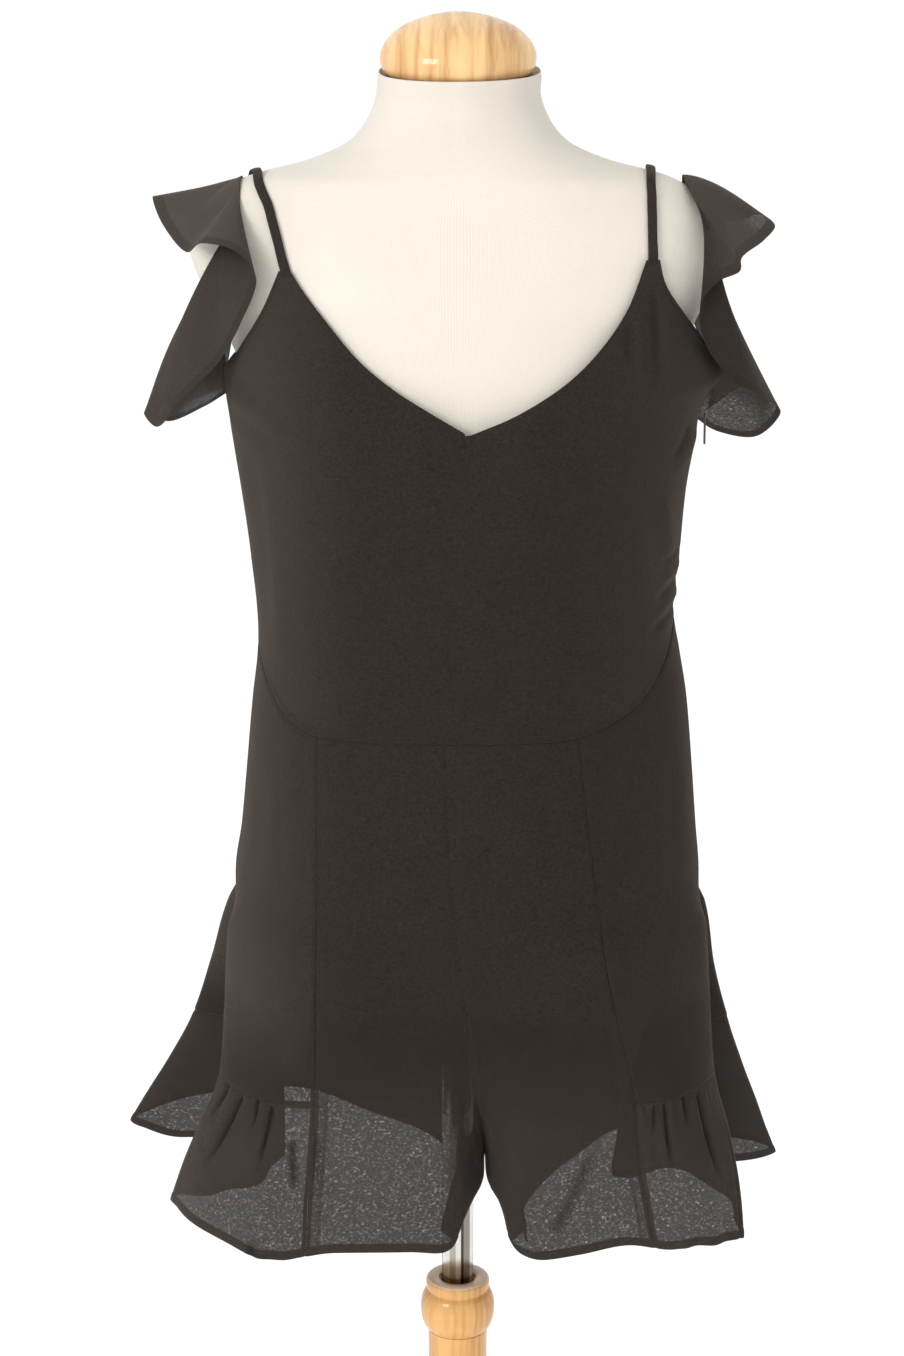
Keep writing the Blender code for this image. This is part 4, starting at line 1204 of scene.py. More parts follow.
@dataclass(frozen=True)
class Finish:
    """The four edges of a cut piece and how wide their double cloth is, in millimetres."""

    top: Edge = Edge.SEAM
    bottom: Edge = Edge.SEAM
    first: Edge = Edge.SEAM
    last: Edge = Edge.SEAM
    top_width: float = 6.0
    bottom_width: float = 6.0
    first_width: float = 5.5
    last_width: float = 5.5
    # Depth of the groove along a seam.
    dip: float = 0.55
    # Rise of turned-up cloth, softness of its end, depth and width of the stitched groove there,
    # and depth and width of the roll along the fold.
    TURNED = {Edge.HEM: (0.32, 0.6, 0.30, 0.9, 0.25, 0.8),
              Edge.BOUND: (0.16, 0.8, 0.10, 1.0, 0.0, 1.0)}

    def distances(self, points: Array) -> dict[str, Array]:
        """Distances of a grid's points from its four edges.

        Args:
            points: Rows of points, the top row first.

        Returns:
            A grid of distances for each edge.
        """
        down, across = travelled(points), travelled(points, 1)
        return {"top": down, "bottom": down[-1:] - down, "first": across,
                "last": across[:, -1:] - across}

    def rise(self, points: Array) -> Array:
        """Rise of the cloth where its edges are sewn or turned up.

        Args:
            points: Rows of points, the top row first.

        Returns:
            The rise at each point, in millimetres.
        """
        total = np.zeros(points.shape[:2])
        for name, away in self.distances(points).items():
            kind, width = getattr(self, name), getattr(self, name + "_width")
            if kind is Edge.SEAM:
                total -= self.dip * bell(away, 1.3)
                total += 0.12 * self.dip * bell(away - width, 2.0)
            elif kind in self.TURNED:
                up, soft, groove, groove_width, roll, roll_width = self.TURNED[kind]
                total += up * smooth_step(width + soft, width - soft, away)
                total -= groove * bell(away - width, groove_width)
                total -= roll * bell(away, roll_width)
        return total

    def steady(self, points: Array) -> Array:
        """Share of all relief that is left beside the centre seams, where two legs meet."""
        total = np.ones(points.shape[:2])
        for name, away in self.distances(points).items():
            if getattr(self, name) is Edge.CENTRE:
                total *= smooth_step(0.0, 16.0, away)
        return total

    def centre_dip(self, points: Array) -> Array:
        """Depth of the crease along a centre seam, towards the inside of the garment."""
        total = np.zeros(points.shape[:2])
        for name, away in self.distances(points).items():
            if getattr(self, name) is Edge.CENTRE:
                total += self.dip * bell(away, 2.0)
        return total

    def maps(self, points: Array) -> dict[str, Array]:
        """UV maps of the distances from the edges, each in widths of its double cloth.

        Args:
            points: Rows of points, the top row first.

        Returns:
            The maps named near and far.
        """
        shares = {name: away / getattr(self, name + "_width")
                  for name, away in self.distances(points).items()}
        return {"near": np.stack((shares["first"], shares["bottom"]), axis=-1),
                "far": np.stack((shares["last"], shares["top"]), axis=-1)}


def link(name: str, mesh: bpy.types.Mesh, material: bpy.types.Material) -> bpy.types.Object:
    """Put a mesh into the scene as a smooth piece with its material."""
    mesh.materials.clear()
    mesh.materials.append(material)
    mesh.shade_smooth()
    item = bpy.data.objects.new(name, mesh)
    bpy.context.scene.collection.objects.link(item)
    return item


def stand_for(item: bpy.types.Object, node: str,
              body: str = GARMENT_BODY) -> bpy.types.Object:
    """Let a piece ride on a body and stand for a solid.

    Args:
        item: The piece.
        node: The solid.
        body: The body.

    Returns:
        The same piece.
    """
    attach(item, body)
    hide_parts(node)
    LOG.info("%s: %d faces", item.name, len(item.data.polygons))
    return item


def mesh_of(name: str, data: bmesh.types.BMesh) -> bpy.types.Mesh:
    """Keep edited data as a new mesh."""
    mesh = bpy.data.meshes.new(name)
    data.to_mesh(mesh)
    data.free()
    return mesh


def laid_grid(name: str, points: Array, maps: dict[str, Array], outward: Array) -> bpy.types.Mesh:
    """Lay a grid's vertices on points.

    Args:
        name: The mesh's name.
        points: Rows of points, in millimetres.
        maps: UV maps as grids of pairs.
        outward: Directions that the faces look along.

    Returns:
        The mesh.
    """
    rows, columns = points.shape[:2]
    data = bmesh.new()
    bmesh.ops.create_grid(data, x_segments=columns - 1, y_segments=rows - 1, size=0.5)
    turn = np.cross(np.diff(points, axis=1)[:-1], np.diff(points, axis=0)[:, :-1])
    if float(np.sum(turn * outward[:-1, :-1])) < 0.0:
        bmesh.ops.reverse_faces(data, faces=data.faces[:])
    mesh = mesh_of(name, data)
    spots = np.empty(len(mesh.vertices) * 3, np.float32)
    mesh.vertices.foreach_get("co", spots)
    spots = spots.reshape(-1, 3) + 0.5
    column = np.rint(spots[:, 0] * (columns - 1)).astype(int)
    row = np.rint(spots[:, 1] * (rows - 1)).astype(int)
    mesh.vertices.foreach_set("co", (points[row, column] * MM).astype(np.float32).ravel())
    corners = np.empty(len(mesh.loops), np.int32)
    mesh.loops.foreach_get("vertex_index", corners)
    for title, values in maps.items():
        layer = mesh.uv_layers.new(name=title)
        layer.uv.foreach_set("vector", values[row, column][corners].astype(np.float32).ravel())
    mesh.update()
    return mesh


def closed_round(mesh: bpy.types.Mesh) -> bpy.types.Mesh:
    """Join a grid that runs all round at its meeting edge and close its ends."""
    data = bmesh.new()
    data.from_mesh(mesh)
    bmesh.ops.remove_doubles(data, verts=data.verts[:], dist=JOIN_DISTANCE)
    bmesh.ops.holes_fill(data, edges=[e for e in data.edges if e.is_boundary], sides=0)
    bmesh.ops.recalc_face_normals(data, faces=data.faces[:])
    data.to_mesh(mesh)
    data.free()
    return mesh


def walled(item: bpy.types.Object, thickness: float, offset: float = -1.0) -> bpy.types.Object:
    """Give a sheet its thickness, in millimetres.

    Args:
        item: The sheet.
        thickness: Its thickness.
        offset: -1 thickens inwards and 0 both ways.

    Returns:
        The same piece.
    """
    wall = item.modifiers.new("thickness", "SOLIDIFY")
    wall.thickness = thickness * MM
    wall.offset = offset
    wall.use_rim = True
    return item


def cloth_piece(name: str, node: str, points: Array, outward: Array, finish: Finish,
                material: bpy.types.Material, thickness: float, offset: float = -1.0,
                press: Optional[Array] = None, strip: Optional[Array] = None,
                backed: Optional[Array] = None, lit: Optional[Array] = None
                ) -> bpy.types.Object:
    """Make a cut piece of cloth in its place.

    Args:
        name: The piece's name.
        node: The solid that it stands for.
        points: Rows of points on its outer face, the top row first.
        outward: Outward normals.
        finish: Its edges.
        material: Its cloth.
        thickness: Its thickness.
        offset: -1 thickens inwards and 0 both ways.
        press: How tightly the cloth is pressed in its troughs, which also paints shade there.
        strip: Distance from a seam, in widths of the allowance that is pressed to one side.
        backed: How far something behind the cloth closes its openings.
        lit: How far painted light, standing for light between the threads, lifts its tone.

    Returns:
        The piece.
    """
    def grid(values: Optional[Array], usual: float = 0.0) -> Array:
        return np.full(points.shape[:2], usual) if values is None else values

    maps = finish.maps(points)
    maps["press"] = np.stack((grid(press), grid(strip, NO_STRIP)), axis=-1)
    maps["backed"] = np.stack((grid(backed), grid(lit)), axis=-1)
    mesh = laid_grid(name, points, maps, outward)
    item = walled(link(name, mesh, material), thickness, offset)
    LOG.info("%s: %.4f square metres", name, sum(face.area for face in mesh.polygons))
    return stand_for(item, node)


def lathe(name: str, profile: Sequence[tuple[float, float]], material: bpy.types.Material,
          facets: int = 96, turn: Optional[Matrix] = None) -> bpy.types.Object:
    """Turn a profile about the upright axis.

    Args:
        name: The piece's name.
        profile: Radius and height of its points, from axis to axis or closed.
        material: Its finish.
        facets: Steps of a whole turn.
        turn: A placing of the finished shape.

    Returns:
        The piece.
    """
    data = bmesh.new()
    verts = [data.verts.new((radius * MM, 0.0, height * MM)) for radius, height in profile]
    edges = [data.edges.new(pair) for pair in zip(verts, verts[1:])]
    bmesh.ops.spin(data, geom=verts + edges, cent=(0.0, 0.0, 0.0), axis=(0.0, 0.0, 1.0),
                   dvec=(0.0, 0.0, 0.0), angle=math.tau, steps=facets, use_merge=True,
                   use_duplicate=False)
    bmesh.ops.remove_doubles(data, verts=data.verts[:], dist=JOIN_DISTANCE)
    bmesh.ops.recalc_face_normals(data, faces=data.faces[:])
    if turn is not None:
        bmesh.ops.transform(data, matrix=turn, verts=data.verts[:])
    item = link(name, mesh_of(name, data), material)
    item.data.set_sharp_from_angle(angle=SHARP_ANGLE)
    return item


def rounded(profile: Sequence[tuple[float, float]], steps: int = 6) -> list[tuple[float, float]]:
    """A smooth version of a profile's points."""
    marks = np.array([(r, 0.0, z) for r, z in profile], float)
    places = np.linspace(0.0, len(marks) - 1.0, steps * (len(marks) - 1) + 1)
    return [(max(float(r), 0.0), float(z)) for r, _, z in along(marks, places)]


# ---------------------------------------------------------------- the garment's pieces
@dataclass
class Bodice:
    """Front and back bodice between the curved waist seam and the neck and armholes."""

    shape: GarmentShape
    material: bpy.types.Material
    back_material: bpy.types.Material
    thickness: float = 0.6
    pitch: float = 2.3
    # Usual height of a column, which sets the number of rows.
    height: float = 240.0
    # Columns of the armhole's run and where the neck's run starts.
    armhole_run: float = 6.0
    neck_start: float = 7.0
    # How tightly the narrow troughs press the cloth, which also sets their painted shade.
    pressing: float = 0.4
    # Painted light that lifts the tone towards each side.
    lit_left: float = 0.34
    lit_right: float = 0.2
    FLATS = {Half.FRONT: ((0.53, 0.34), 0.112), Half.BACK: ((0.47, 0.28), 0.098)}
    FRONT_CREASES = (
        Crease((131, 1266), (133, 1186), 3.0, -1.5, 1.5),
        Crease((123, 1258), (124, 1190), 2.6, 1.0, -1.0),
        Crease((115, 1244), (116, 1204), 2.6, -1.1, -1.0),
        Crease((140, 1250), (143, 1180), 3.2, 1.1, 2.0),
        Crease((160, 1168), (143, 1140), 3.4, -1.6, 3.0),
        Crease((165, 1158), (147, 1130), 4.0, 1.3, 3.0),
        Crease((126, 1124), (141, 1052), 6.0, -1.3, 3.0),
        Crease((138, 1128), (149, 1062), 5.0, 1.3, 2.0),
        Crease((116, 1110), (128, 1040), 7.0, 0.9, 3.0),
        Crease((158, 1072), (139, 1066), 3.0, -1.6),
        Crease((158, 1050), (136, 1041), 3.4, -1.8),
        Crease((158, 1061), (140, 1053), 3.0, 1.3),
        Crease((158, 1030), (131, 1017), 3.8, -1.8),
        Crease((158, 1040), (136, 1030), 3.0, 1.4),
        Crease((-162, 1196), (-106, 1168), 6.5, -1.7, 4.0),
        Crease((-162, 1184), (-112, 1158), 6.0, 1.3, 4.0),
        Crease((-160, 1170), (-118, 1150), 5.0, -1.0, 3.0),
        Crease((-152, 1150), (-143, 1000), 4.0, 1.2, 3.0, 0.15, 0.2),
        Crease((-142, 1150), (-134, 1010), 5.0, -1.1, 3.0, 0.15, 0.2),
        Crease((-126, 1062), (-116, 984), 9.0, 0.9, -4.0),
        Crease((-60, 1040), (-50, 975), 12.0, 0.6, 4.0),
        Crease((52, 1030), (64, 972), 11.0, 0.7, -3.0),
        Crease((-30, 1158), (28, 1154), 8.0, -0.6, -5.0),
    )
    BACK_CREASES = (
        Crease((-132, 1180), (-92, 1150), 6.0, -1.4, 4.0),
        Crease((136, 1182), (96, 1150), 6.0, -1.4, -4.0),
        Crease((-138, 1060), (-98, 1036), 6.0, -1.5, 3.0),
        Crease((-140, 1044), (-96, 1020), 6.0, 1.3, 3.0),
        Crease((144, 1066), (100, 1044), 6.5, -1.6, -3.0),
        Crease((146, 1048), (98, 1028), 6.0, 1.4, -3.0),
        Crease((-58, 1110), (-66, 1010), 10.0, 1.1, 4.0),
        Crease((62, 1104), (70, 1008), 10.0, 1.1, -4.0),
        Crease((-20, 1070), (-24, 990), 9.0, -0.9, 3.0),
        Crease((26, 1066), (30, 994), 9.0, -0.8, -3.0),
        Crease((-108, 1226), (-100, 1180), 3.0, -1.1, -2.0),
        Crease((112, 1226), (104, 1180), 3.0, -1.1, 2.0),
    )

    def _columns(self, half: Half) -> Array:
        """Places round a half at the waist for every coarse column, the side first."""
        if half is Half.FRONT:
            inner = [index / 3 for index in range(3)] + [1 + index / 4 for index in range(4)]
            outer = [2 + index / 3 for index in range(13)]
            return np.array((inner + outer)[::-1])
        outer = [6 + index / 5 for index in range(10)]
        inner = [8 + index / 4 for index in range(4)] + [9 + index / 3 for index in range(4)]
        return np.array(outer + inner)

    def _rim(self, column: Array, last: float, armhole: Sequence, neck: Sequence) -> Array:
        """x and height along the top of one half, the side first."""
        arm = even_curve([(x, 0.0, z) for x, z in armhole],
                         np.clip(column / self.armhole_run, 0.0, 1.0))
        share = np.clip((column - self.neck_start) / (last - self.neck_start), 0.0, 1.0)
        throat = even_curve([(x, 0.0, z) for x, z in neck], share)
        bridge = np.clip(column - self.armhole_run, 0.0, 1.0)[:, None]
        return (arm * (1.0 - bridge) + throat * bridge)[:, (0, 2)]

    def _half_grid(self, side: Side, half: Half, armhole: Sequence, neck: Sequence,
                   rows: Array) -> tuple[Array, Array]:
        """Places and heights of one side's grid, the side seam first and the rim on top."""
        coarse = self._columns(half)
        last = len(coarse) - 1.0
        column = np.linspace(0.0, last, int(last * 6) + 1)
        column = np.unique(np.concatenate((column, (0.1, 0.3, last - 0.1, last - 0.3))))
        waist_place = np.interp(column, np.arange(len(coarse)), coarse)
        rim = self._rim(column, last, armhole, neck)
        ends = (0.0, SIDE_STATION) if half is Half.FRONT else (SIDE_STATION, GarmentShape.LAST)
        top_place = self.shape.place_at(side, rim[:, 0], rim[:, 1], *map(float, ends))
        # The first column runs straight up the side seam.
        first = float(np.interp(1.0, column, top_place))
        from_side = SIDE_STATION + (first - SIDE_STATION) * column
        top_place = np.where(column < 1.0, from_side, top_place)
        share = rows[:, None]
        ease = smooth_step(0.0, 1.0, share)
        place = waist_place + (top_place - waist_place) * ease
        waist = GarmentShape.waist(side, waist_place)
        return place, waist + (rim[:, 1] - waist) * share

    def _build(self, half: Half, edges: Sequence, creases: Sequence[Crease]) -> bpy.types.Object:
        """Build one half of the bodice."""
        armhole_left, neck_left, neck_right, armhole_right = edges
        rows = ruled(self.height, self.pitch, (0.8, 1.8, 3.0, 5.0), (0.6, 1.4, 4.2, 5.2))
        parts = []
        for side, armhole, neck in ((Side.LEFT, armhole_left, neck_left),
                                    (Side.RIGHT, armhole_right[::-1], neck_right[::-1])):
            place, height = self._half_grid(side, half, armhole, neck, rows)
            points, normal = self.shape.surface(side, place, height)
            if side is Side.RIGHT:
                points, normal = points[:, ::-1][:, 1:], normal[:, ::-1][:, 1:]
            parts.append((points[::-1], normal[::-1]))
        points = np.concatenate([part[0] for part in parts], axis=1)
        normal = np.concatenate([part[1] for part in parts], axis=1)
        finish = Finish(top=Edge.BOUND, top_width=4.6, bottom_width=7.0)
        rise = relief(creases, points) + finish.rise(points)
        rise += 0.5 * swell(points[..., 0], points[..., 2], 0.4 if half is Half.FRONT else 2.1)
        points = points + normal * rise[..., None]
        points = self.shape.form.clear(points, FORM_CLEARANCE + self.thickness)
        name = "bodice_" + half.value
        # The lit map paints light towards the sides, more on the left.
        item = cloth_piece("cloth_" + name, name, points, normal, finish,
                           self.material if half is Half.FRONT else self.back_material,
                           self.thickness, press=self.pressing * crowding(creases, points),
                           backed=np.ones(points.shape[:2]),
                           lit=np.where(points[..., 0] < 0.0, self.lit_left, self.lit_right)
                           * smooth_step(60.0, 175.0, np.abs(points[..., 0] - 4.0)))
        return item

    def build(self) -> list[bpy.types.Object]:
        """Build both halves."""
        front_edges = (FRONT_ARMHOLE_LEFT, FRONT_NECK_LEFT, FRONT_NECK_RIGHT, FRONT_ARMHOLE_RIGHT)
        back_edges = (BACK_ARMHOLE_LEFT, BACK_NECK_LEFT, BACK_NECK_RIGHT, BACK_ARMHOLE_RIGHT)
        return [self._build(Half.FRONT, front_edges, self.FRONT_CREASES),
                self._build(Half.BACK, back_edges, self.BACK_CREASES)]


@dataclass
class Legs:
    """Eight leg panels, four on each side."""

    shape: GarmentShape
    material: bpy.types.Material
    back_material: bpy.types.Material
    thickness: float = 0.6
    pitch: float = 2.4
    # Usual width of a panel, which sets the number of columns.
    width: float = 130.0
    hem_width: float = 7.0
    # Share of the pressing in troughs, and of its painted shade, that is left above the flare of
    # the hem.
    press_above: float = 0.4
    # Width of the allowance that is pressed from the front side seam towards the middle.
    allowance: float = 10.0
    # Heights over which the form starts to close the cloth from behind.
    backed_low: float = 735.0
    backed_high: float = 760.0
    # Painted light that lifts the tone beside each leg and low down on both.
    lit_left: float = 0.34
    lit_right: float = 0.10
    lit_low: float = 0.16
    # Name, first and last station, and whether the panel runs down to the hem.
    PANELS = (("front", 0, 2, True), ("side_front", 2, 6, False),
              ("side_back", 6, 8, False), ("back", 8, 10, True))
    FLATS = {"front": ((0.15, 0.43), 0.047), "side_front": ((0.17, 0.36), 0.042),
             "side_back": ((0.18, 0.37), 0.045), "back": ((0.17, 0.44), 0.054)}
    CREASES = {
        Side.LEFT: (
            Crease((-60, 940), (-66, 860), 9.0, 0.7, 3.0),
            Crease((-118, 968), (-124, 880), 8.0, 0.8, 3.0),
            Crease((-140, 930), (-150, 820), 7.0, -1.0, 4.0),
            Crease((-101, 668), (-102, 612), 4.0, -0.9, 1.0, 0.2, 0.3),
            Crease((-74, 690), (-88, 600), 12.0, -1.0, -4.0, 0.5, 0.1),
            Crease((10, 760), (-36, 716), 7.0, 1.0, 5.0),
            Crease((8, 740), (-30, 700), 6.0, -0.9, 4.0),
        ),
        Side.RIGHT: (
            Crease((94, 842), (70, 802), 4.5, -1.0, 2.0),
            Crease((100, 836), (76, 796), 4.5, 0.9, 2.0),
            Crease((120, 956), (126, 868), 8.0, 0.8, -3.0),
            Crease((150, 930), (160, 830), 7.0, -1.0, -4.0),
            Crease((97, 655), (68, 580), 3.4, -1.3, 2.0, 0.3, 0.1),
            Crease((91, 650), (60, 580), 5.0, 0.9, 2.0, 0.3, 0.1),
            Crease((66, 690), (56, 600), 11.0, -1.1, 3.0, 0.5, 0.1),
            Crease((12, 756), (56, 712), 7.0, 1.0, -5.0),
            Crease((14, 738), (50, 700), 6.0, -0.9, -4.0),
            Crease((48, 930), (52, 850), 10.0, 0.7, 3.0),
        ),
    }

    def _lit(self, points: Array) -> Array:
        """How far painted light, standing for light between the threads, lifts the cloth's tone at
        points.
        """
        beside = np.where(points[..., 0] < 0.0, self.lit_left, self.lit_right)
        beside = beside * smooth_step(70.0, 190.0, np.abs(points[..., 0] - 8.0))
        return (beside * smooth_step(690.0, 745.0, points[..., 2])
                + self.lit_low * smooth_step(740.0, 640.0, points[..., 2]))

    def panel(self, side: Side, name: str, first: int, last: int, to_hem: bool
              ) -> bpy.types.Object:
        """Build one panel.

        Args:
            side: The half of the garment.
            name: The panel's name without its side.
            first: The station of its first edge.
            last: The station of its last edge.
            to_hem: Whether it runs down to the hem.

        Returns:
            The panel.
        """
        middle = (first + last) / 2.0
        top = float(GarmentShape.waist(side, np.float64(middle)))
        bottom = HEM_HEIGHT if to_hem else RUFFLE_SEAM
        ends = (0.7, 2.0, 6.9, 7.6, 8.4, 9.2) if to_hem else (0.8, 2.0, 4.0)
        rows = ruled(top - bottom, self.pitch, (0.8, 2.0, 4.0), ends)
        columns = ruled(self.width, self.pitch, (0.8, 2.0, 4.0), (0.8, 2.0, 4.0))
        place, share = np.meshgrid(first + (last - first) * columns, rows)
        start = GarmentShape.waist(side, place)
        stop = GarmentShape.hem(side, place) if to_hem else np.full(place.shape, RUFFLE_SEAM)
        points, normal = self.shape.surface(side, place, start + (stop - start) * share)
        finish = Finish(bottom=Edge.HEM if to_hem else Edge.SEAM,
                        first=Edge.CENTRE if first == 0 else Edge.SEAM,
                        last=Edge.CENTRE if last == GarmentShape.LAST else Edge.SEAM,
                        bottom_width=self.hem_width if to_hem else 2.6,
                        first_width=3.2, last_width=3.2)
        rise = finish.rise(points)
        in_front = name.endswith("front")
        if in_front:
            rise += relief(self.CREASES[side], points)
        rise += 0.6 * swell(points[..., 0] + 90.0 * (points[..., 1] > 20.0), points[..., 2],
                            1.2 + first)
        points = points + normal * (rise * finish.steady(points))[..., None]
        inwards = np.where(points[..., 1] < -20.0, 1.0, -1.0)
        inwards *= smooth_step(700.0, 760.0, points[..., 2])
        points[..., 1] += finish.centre_dip(points) * inwards
        points = self.shape.form.clear(points, FORM_CLEARANCE + self.thickness)
        node = name + "_" + side.value
        strip = finish.distances(points)["last"] / self.allowance if name == "front" else None
        press = crowding(self.CREASES[side], points) if in_front else None
        if in_front:
            below = smooth_step(680.0, 655.0, points[..., 2])
            press *= self.press_above + (1.0 - self.press_above) * below
        item = cloth_piece("cloth_" + node, node, points, normal, finish,
                           self.material if in_front else self.back_material,
                           self.thickness, press=press, strip=strip,
                           backed=smooth_step(self.backed_low, self.backed_high, points[..., 2]),
                           lit=self._lit(points))
        return item

    def build(self) -> list[bpy.types.Object]:
        """Build the eight panels."""
        return [self.panel(side, *row) for side in Side for row in self.PANELS]


@dataclass
class Ruffles:
    """Four gathered hem ruffles below the side panels."""

    shape: GarmentShape
    material: bpy.types.Material
    thickness: float = 0.6
    pitch: float = 1.9
    hem_width: float = 7.0
    # Height over which the small gathers fade out below the seam.
    gather_fall: float = 16.0
    gather_rise: float = 0.8
    first_seed: int = 11
    # Least and most of a small gather's strength, lean, share of the fall and distance to the next.
    STRENGTHS = (0.45, 1.0)
    LEANS = (-0.16, 0.16)
    FALLS = (0.5, 1.3)
    SPACINGS = (4.2, 8.8)
    # Painted light from behind that lifts the tone.
    lit: float = 0.20
    # Lengths along the seam, which set the number of columns.
    LENGTHS = {Half.FRONT: 290.0, Half.BACK: 300.0}
    FLAT = ((0.30, 0.128), 0.036)
    # Depth of the wide folds on the front of the ruffles.
    front_fold: float = 1.4
    CREASES = {
        Side.LEFT: (
            Crease((-165, 686), (-184, 648), 1.3, -2.0, 1.0, 0.1, 0.6),
            Crease((-154, 686), (-190, 612), 1.5, -2.4, 2.0, 0.1, 0.5),
            Crease((-143, 686), (-148, 658), 1.2, -1.8, 0.5, 0.1, 0.6),
            Crease((-132, 684), (-146, 628), 1.4, -2.2, 1.0, 0.1, 0.5),
            Crease((-118, 662), (-116, 616), 2.8, -1.6, -1.0, 0.2, 0.3),
            Crease((-160, 680), (-186, 632), 3.0, 0.9, 1.0, 0.2, 0.6),
            Crease((-140, 680), (-160, 618), 4.0, 1.0, 1.0, 0.2, 0.5),
            Crease((-150, 590), (-148, 560), 3.0, -1.6, 0.0, 0.6, 0.05),
        ),
        Side.RIGHT: (
            Crease((147, 686), (155, 626), 1.4, -2.2, -1.0, 0.1, 0.5),
            Crease((140, 684), (139, 658), 1.2, -1.7, 0.0, 0.1, 0.6),
            Crease((161, 686), (165, 660), 1.2, -1.8, 0.0, 0.1, 0.6),
            Crease((172, 686), (194, 606), 1.5, -2.3, -2.0, 0.1, 0.5),
            Crease((154, 680), (166, 616), 4.0, 1.0, -1.0, 0.2, 0.5),
            Crease((134, 680), (144, 610), 4.5, 0.9, -1.0, 0.2, 0.5),
        ),
    }

    def _gathers(self, away: Array, drop: Array, seed: int) -> Array:
        """Rise of the small gathers.

        Args:
            away: Distance along the seam.
            drop: Distance below the seam.
            seed: Start of the uneven spacing.

        Returns:
            The rise at each point.
        """
        draw = np.random.default_rng(seed)
        total = np.zeros(away.shape)
        spot, length = 3.0, float(away.max())
        while spot < length - 2.0:
            strength = draw.uniform(*self.STRENGTHS)
            lean = draw.uniform(*self.LEANS)
            fall = self.gather_fall * draw.uniform(*self.FALLS)
            width = 1.1 + 0.04 * drop
            fade = smooth_step(0.0, 4.0, drop) * np.exp(-drop / fall)
            line = away - spot - lean * drop
            total += strength * fade * (bell(line, width) - 0.7 * bell(line - 2.6, 0.8 * width))
            spot += draw.uniform(*self.SPACINGS)
        return self.gather_rise * total

    def _folds(self, side: Side, place: Array, height: Array) -> Array:
        """Depth of the ruffle's wide folds."""
        share = (RUFFLE_SEAM - height) / (RUFFLE_SEAM - HEM_HEIGHT)
        ends = smooth_step(2.0, 2.5, place) * smooth_step(8.0, 7.5, place)
        seam = smooth_step(0.0, 0.35, np.abs(place - SIDE_STATION))
        start = 0.3 if side is Side.LEFT else 1.9
        wave = np.sin(9.4 * place + start) + 0.4 * np.sin(5.3 * place + 2.0 * start)
        depth = np.where(place < 4.0, self.front_fold, RUFFLE_FOLD_DEPTH)
        return depth * share * ends * seam * wave

    def panel(self, side: Side, half: Half) -> bpy.types.Object:
        """Build one ruffle.

        Args:
            side: The half of the garment.
            half: Front or back.

        Returns:
            The ruffle.
        """
        first, last = (2.0, SIDE_STATION) if half is Half.FRONT else (SIDE_STATION, 8.0)
        rows = ruled(RUFFLE_SEAM - HEM_HEIGHT, self.pitch, (0.6, 1.4), (0.7, 7.0, 7.7, 8.4, 9.2))
        columns = ruled(self.LENGTHS[half], self.pitch, (0.8, 2.0), (0.8, 2.0))
        place, share = np.meshgrid(first + (last - first) * columns, rows)
        height = RUFFLE_SEAM + (GarmentShape.hem(side, place) - RUFFLE_SEAM) * share
        points, normal = self.shape.surface(side, place, height)
        flat_way = normal * np.array((1.0, 1.0, 0.0))
        points = points + unit(flat_way) * self._folds(side, place, height)[..., None]
        finish = Finish(top=Edge.SEAM, bottom=Edge.HEM, bottom_width=self.hem_width,
                        top_width=3.0, first_width=3.2, last_width=3.2)
        away = finish.distances(points)
        seed = self.first_seed + 2 * list(Side).index(side) + list(Half).index(half)
        gathers = self._gathers(np.broadcast_to(away["first"][:1], place.shape), away["top"], seed)
        rise = finish.rise(points) + gathers
        # The small gathers press the cloth together in their troughs, which also paints shade
        # there.
        press = np.clip(gathers * -1.1 / self.gather_rise, 0.0, 1.0)
        if half is Half.FRONT:
            front = smooth_step(-10.0, -50.0, points[..., 1])
            rise += relief(self.CREASES[side], points) * front
            press = np.maximum(press, crowding(self.CREASES[side], points) * front)
        points = points + normal * rise[..., None]
        node = "ruffle_" + half.value + "_" + side.value
        item = cloth_piece("cloth_" + node, node, points, normal, finish, self.material,
                           self.thickness, press=press, lit=np.full(points.shape[:2], self.lit))
        return item

    def build(self) -> list[bpy.types.Object]:
        """Build the four ruffles."""
        return [self.panel(side, half) for side in Side for half in Half]


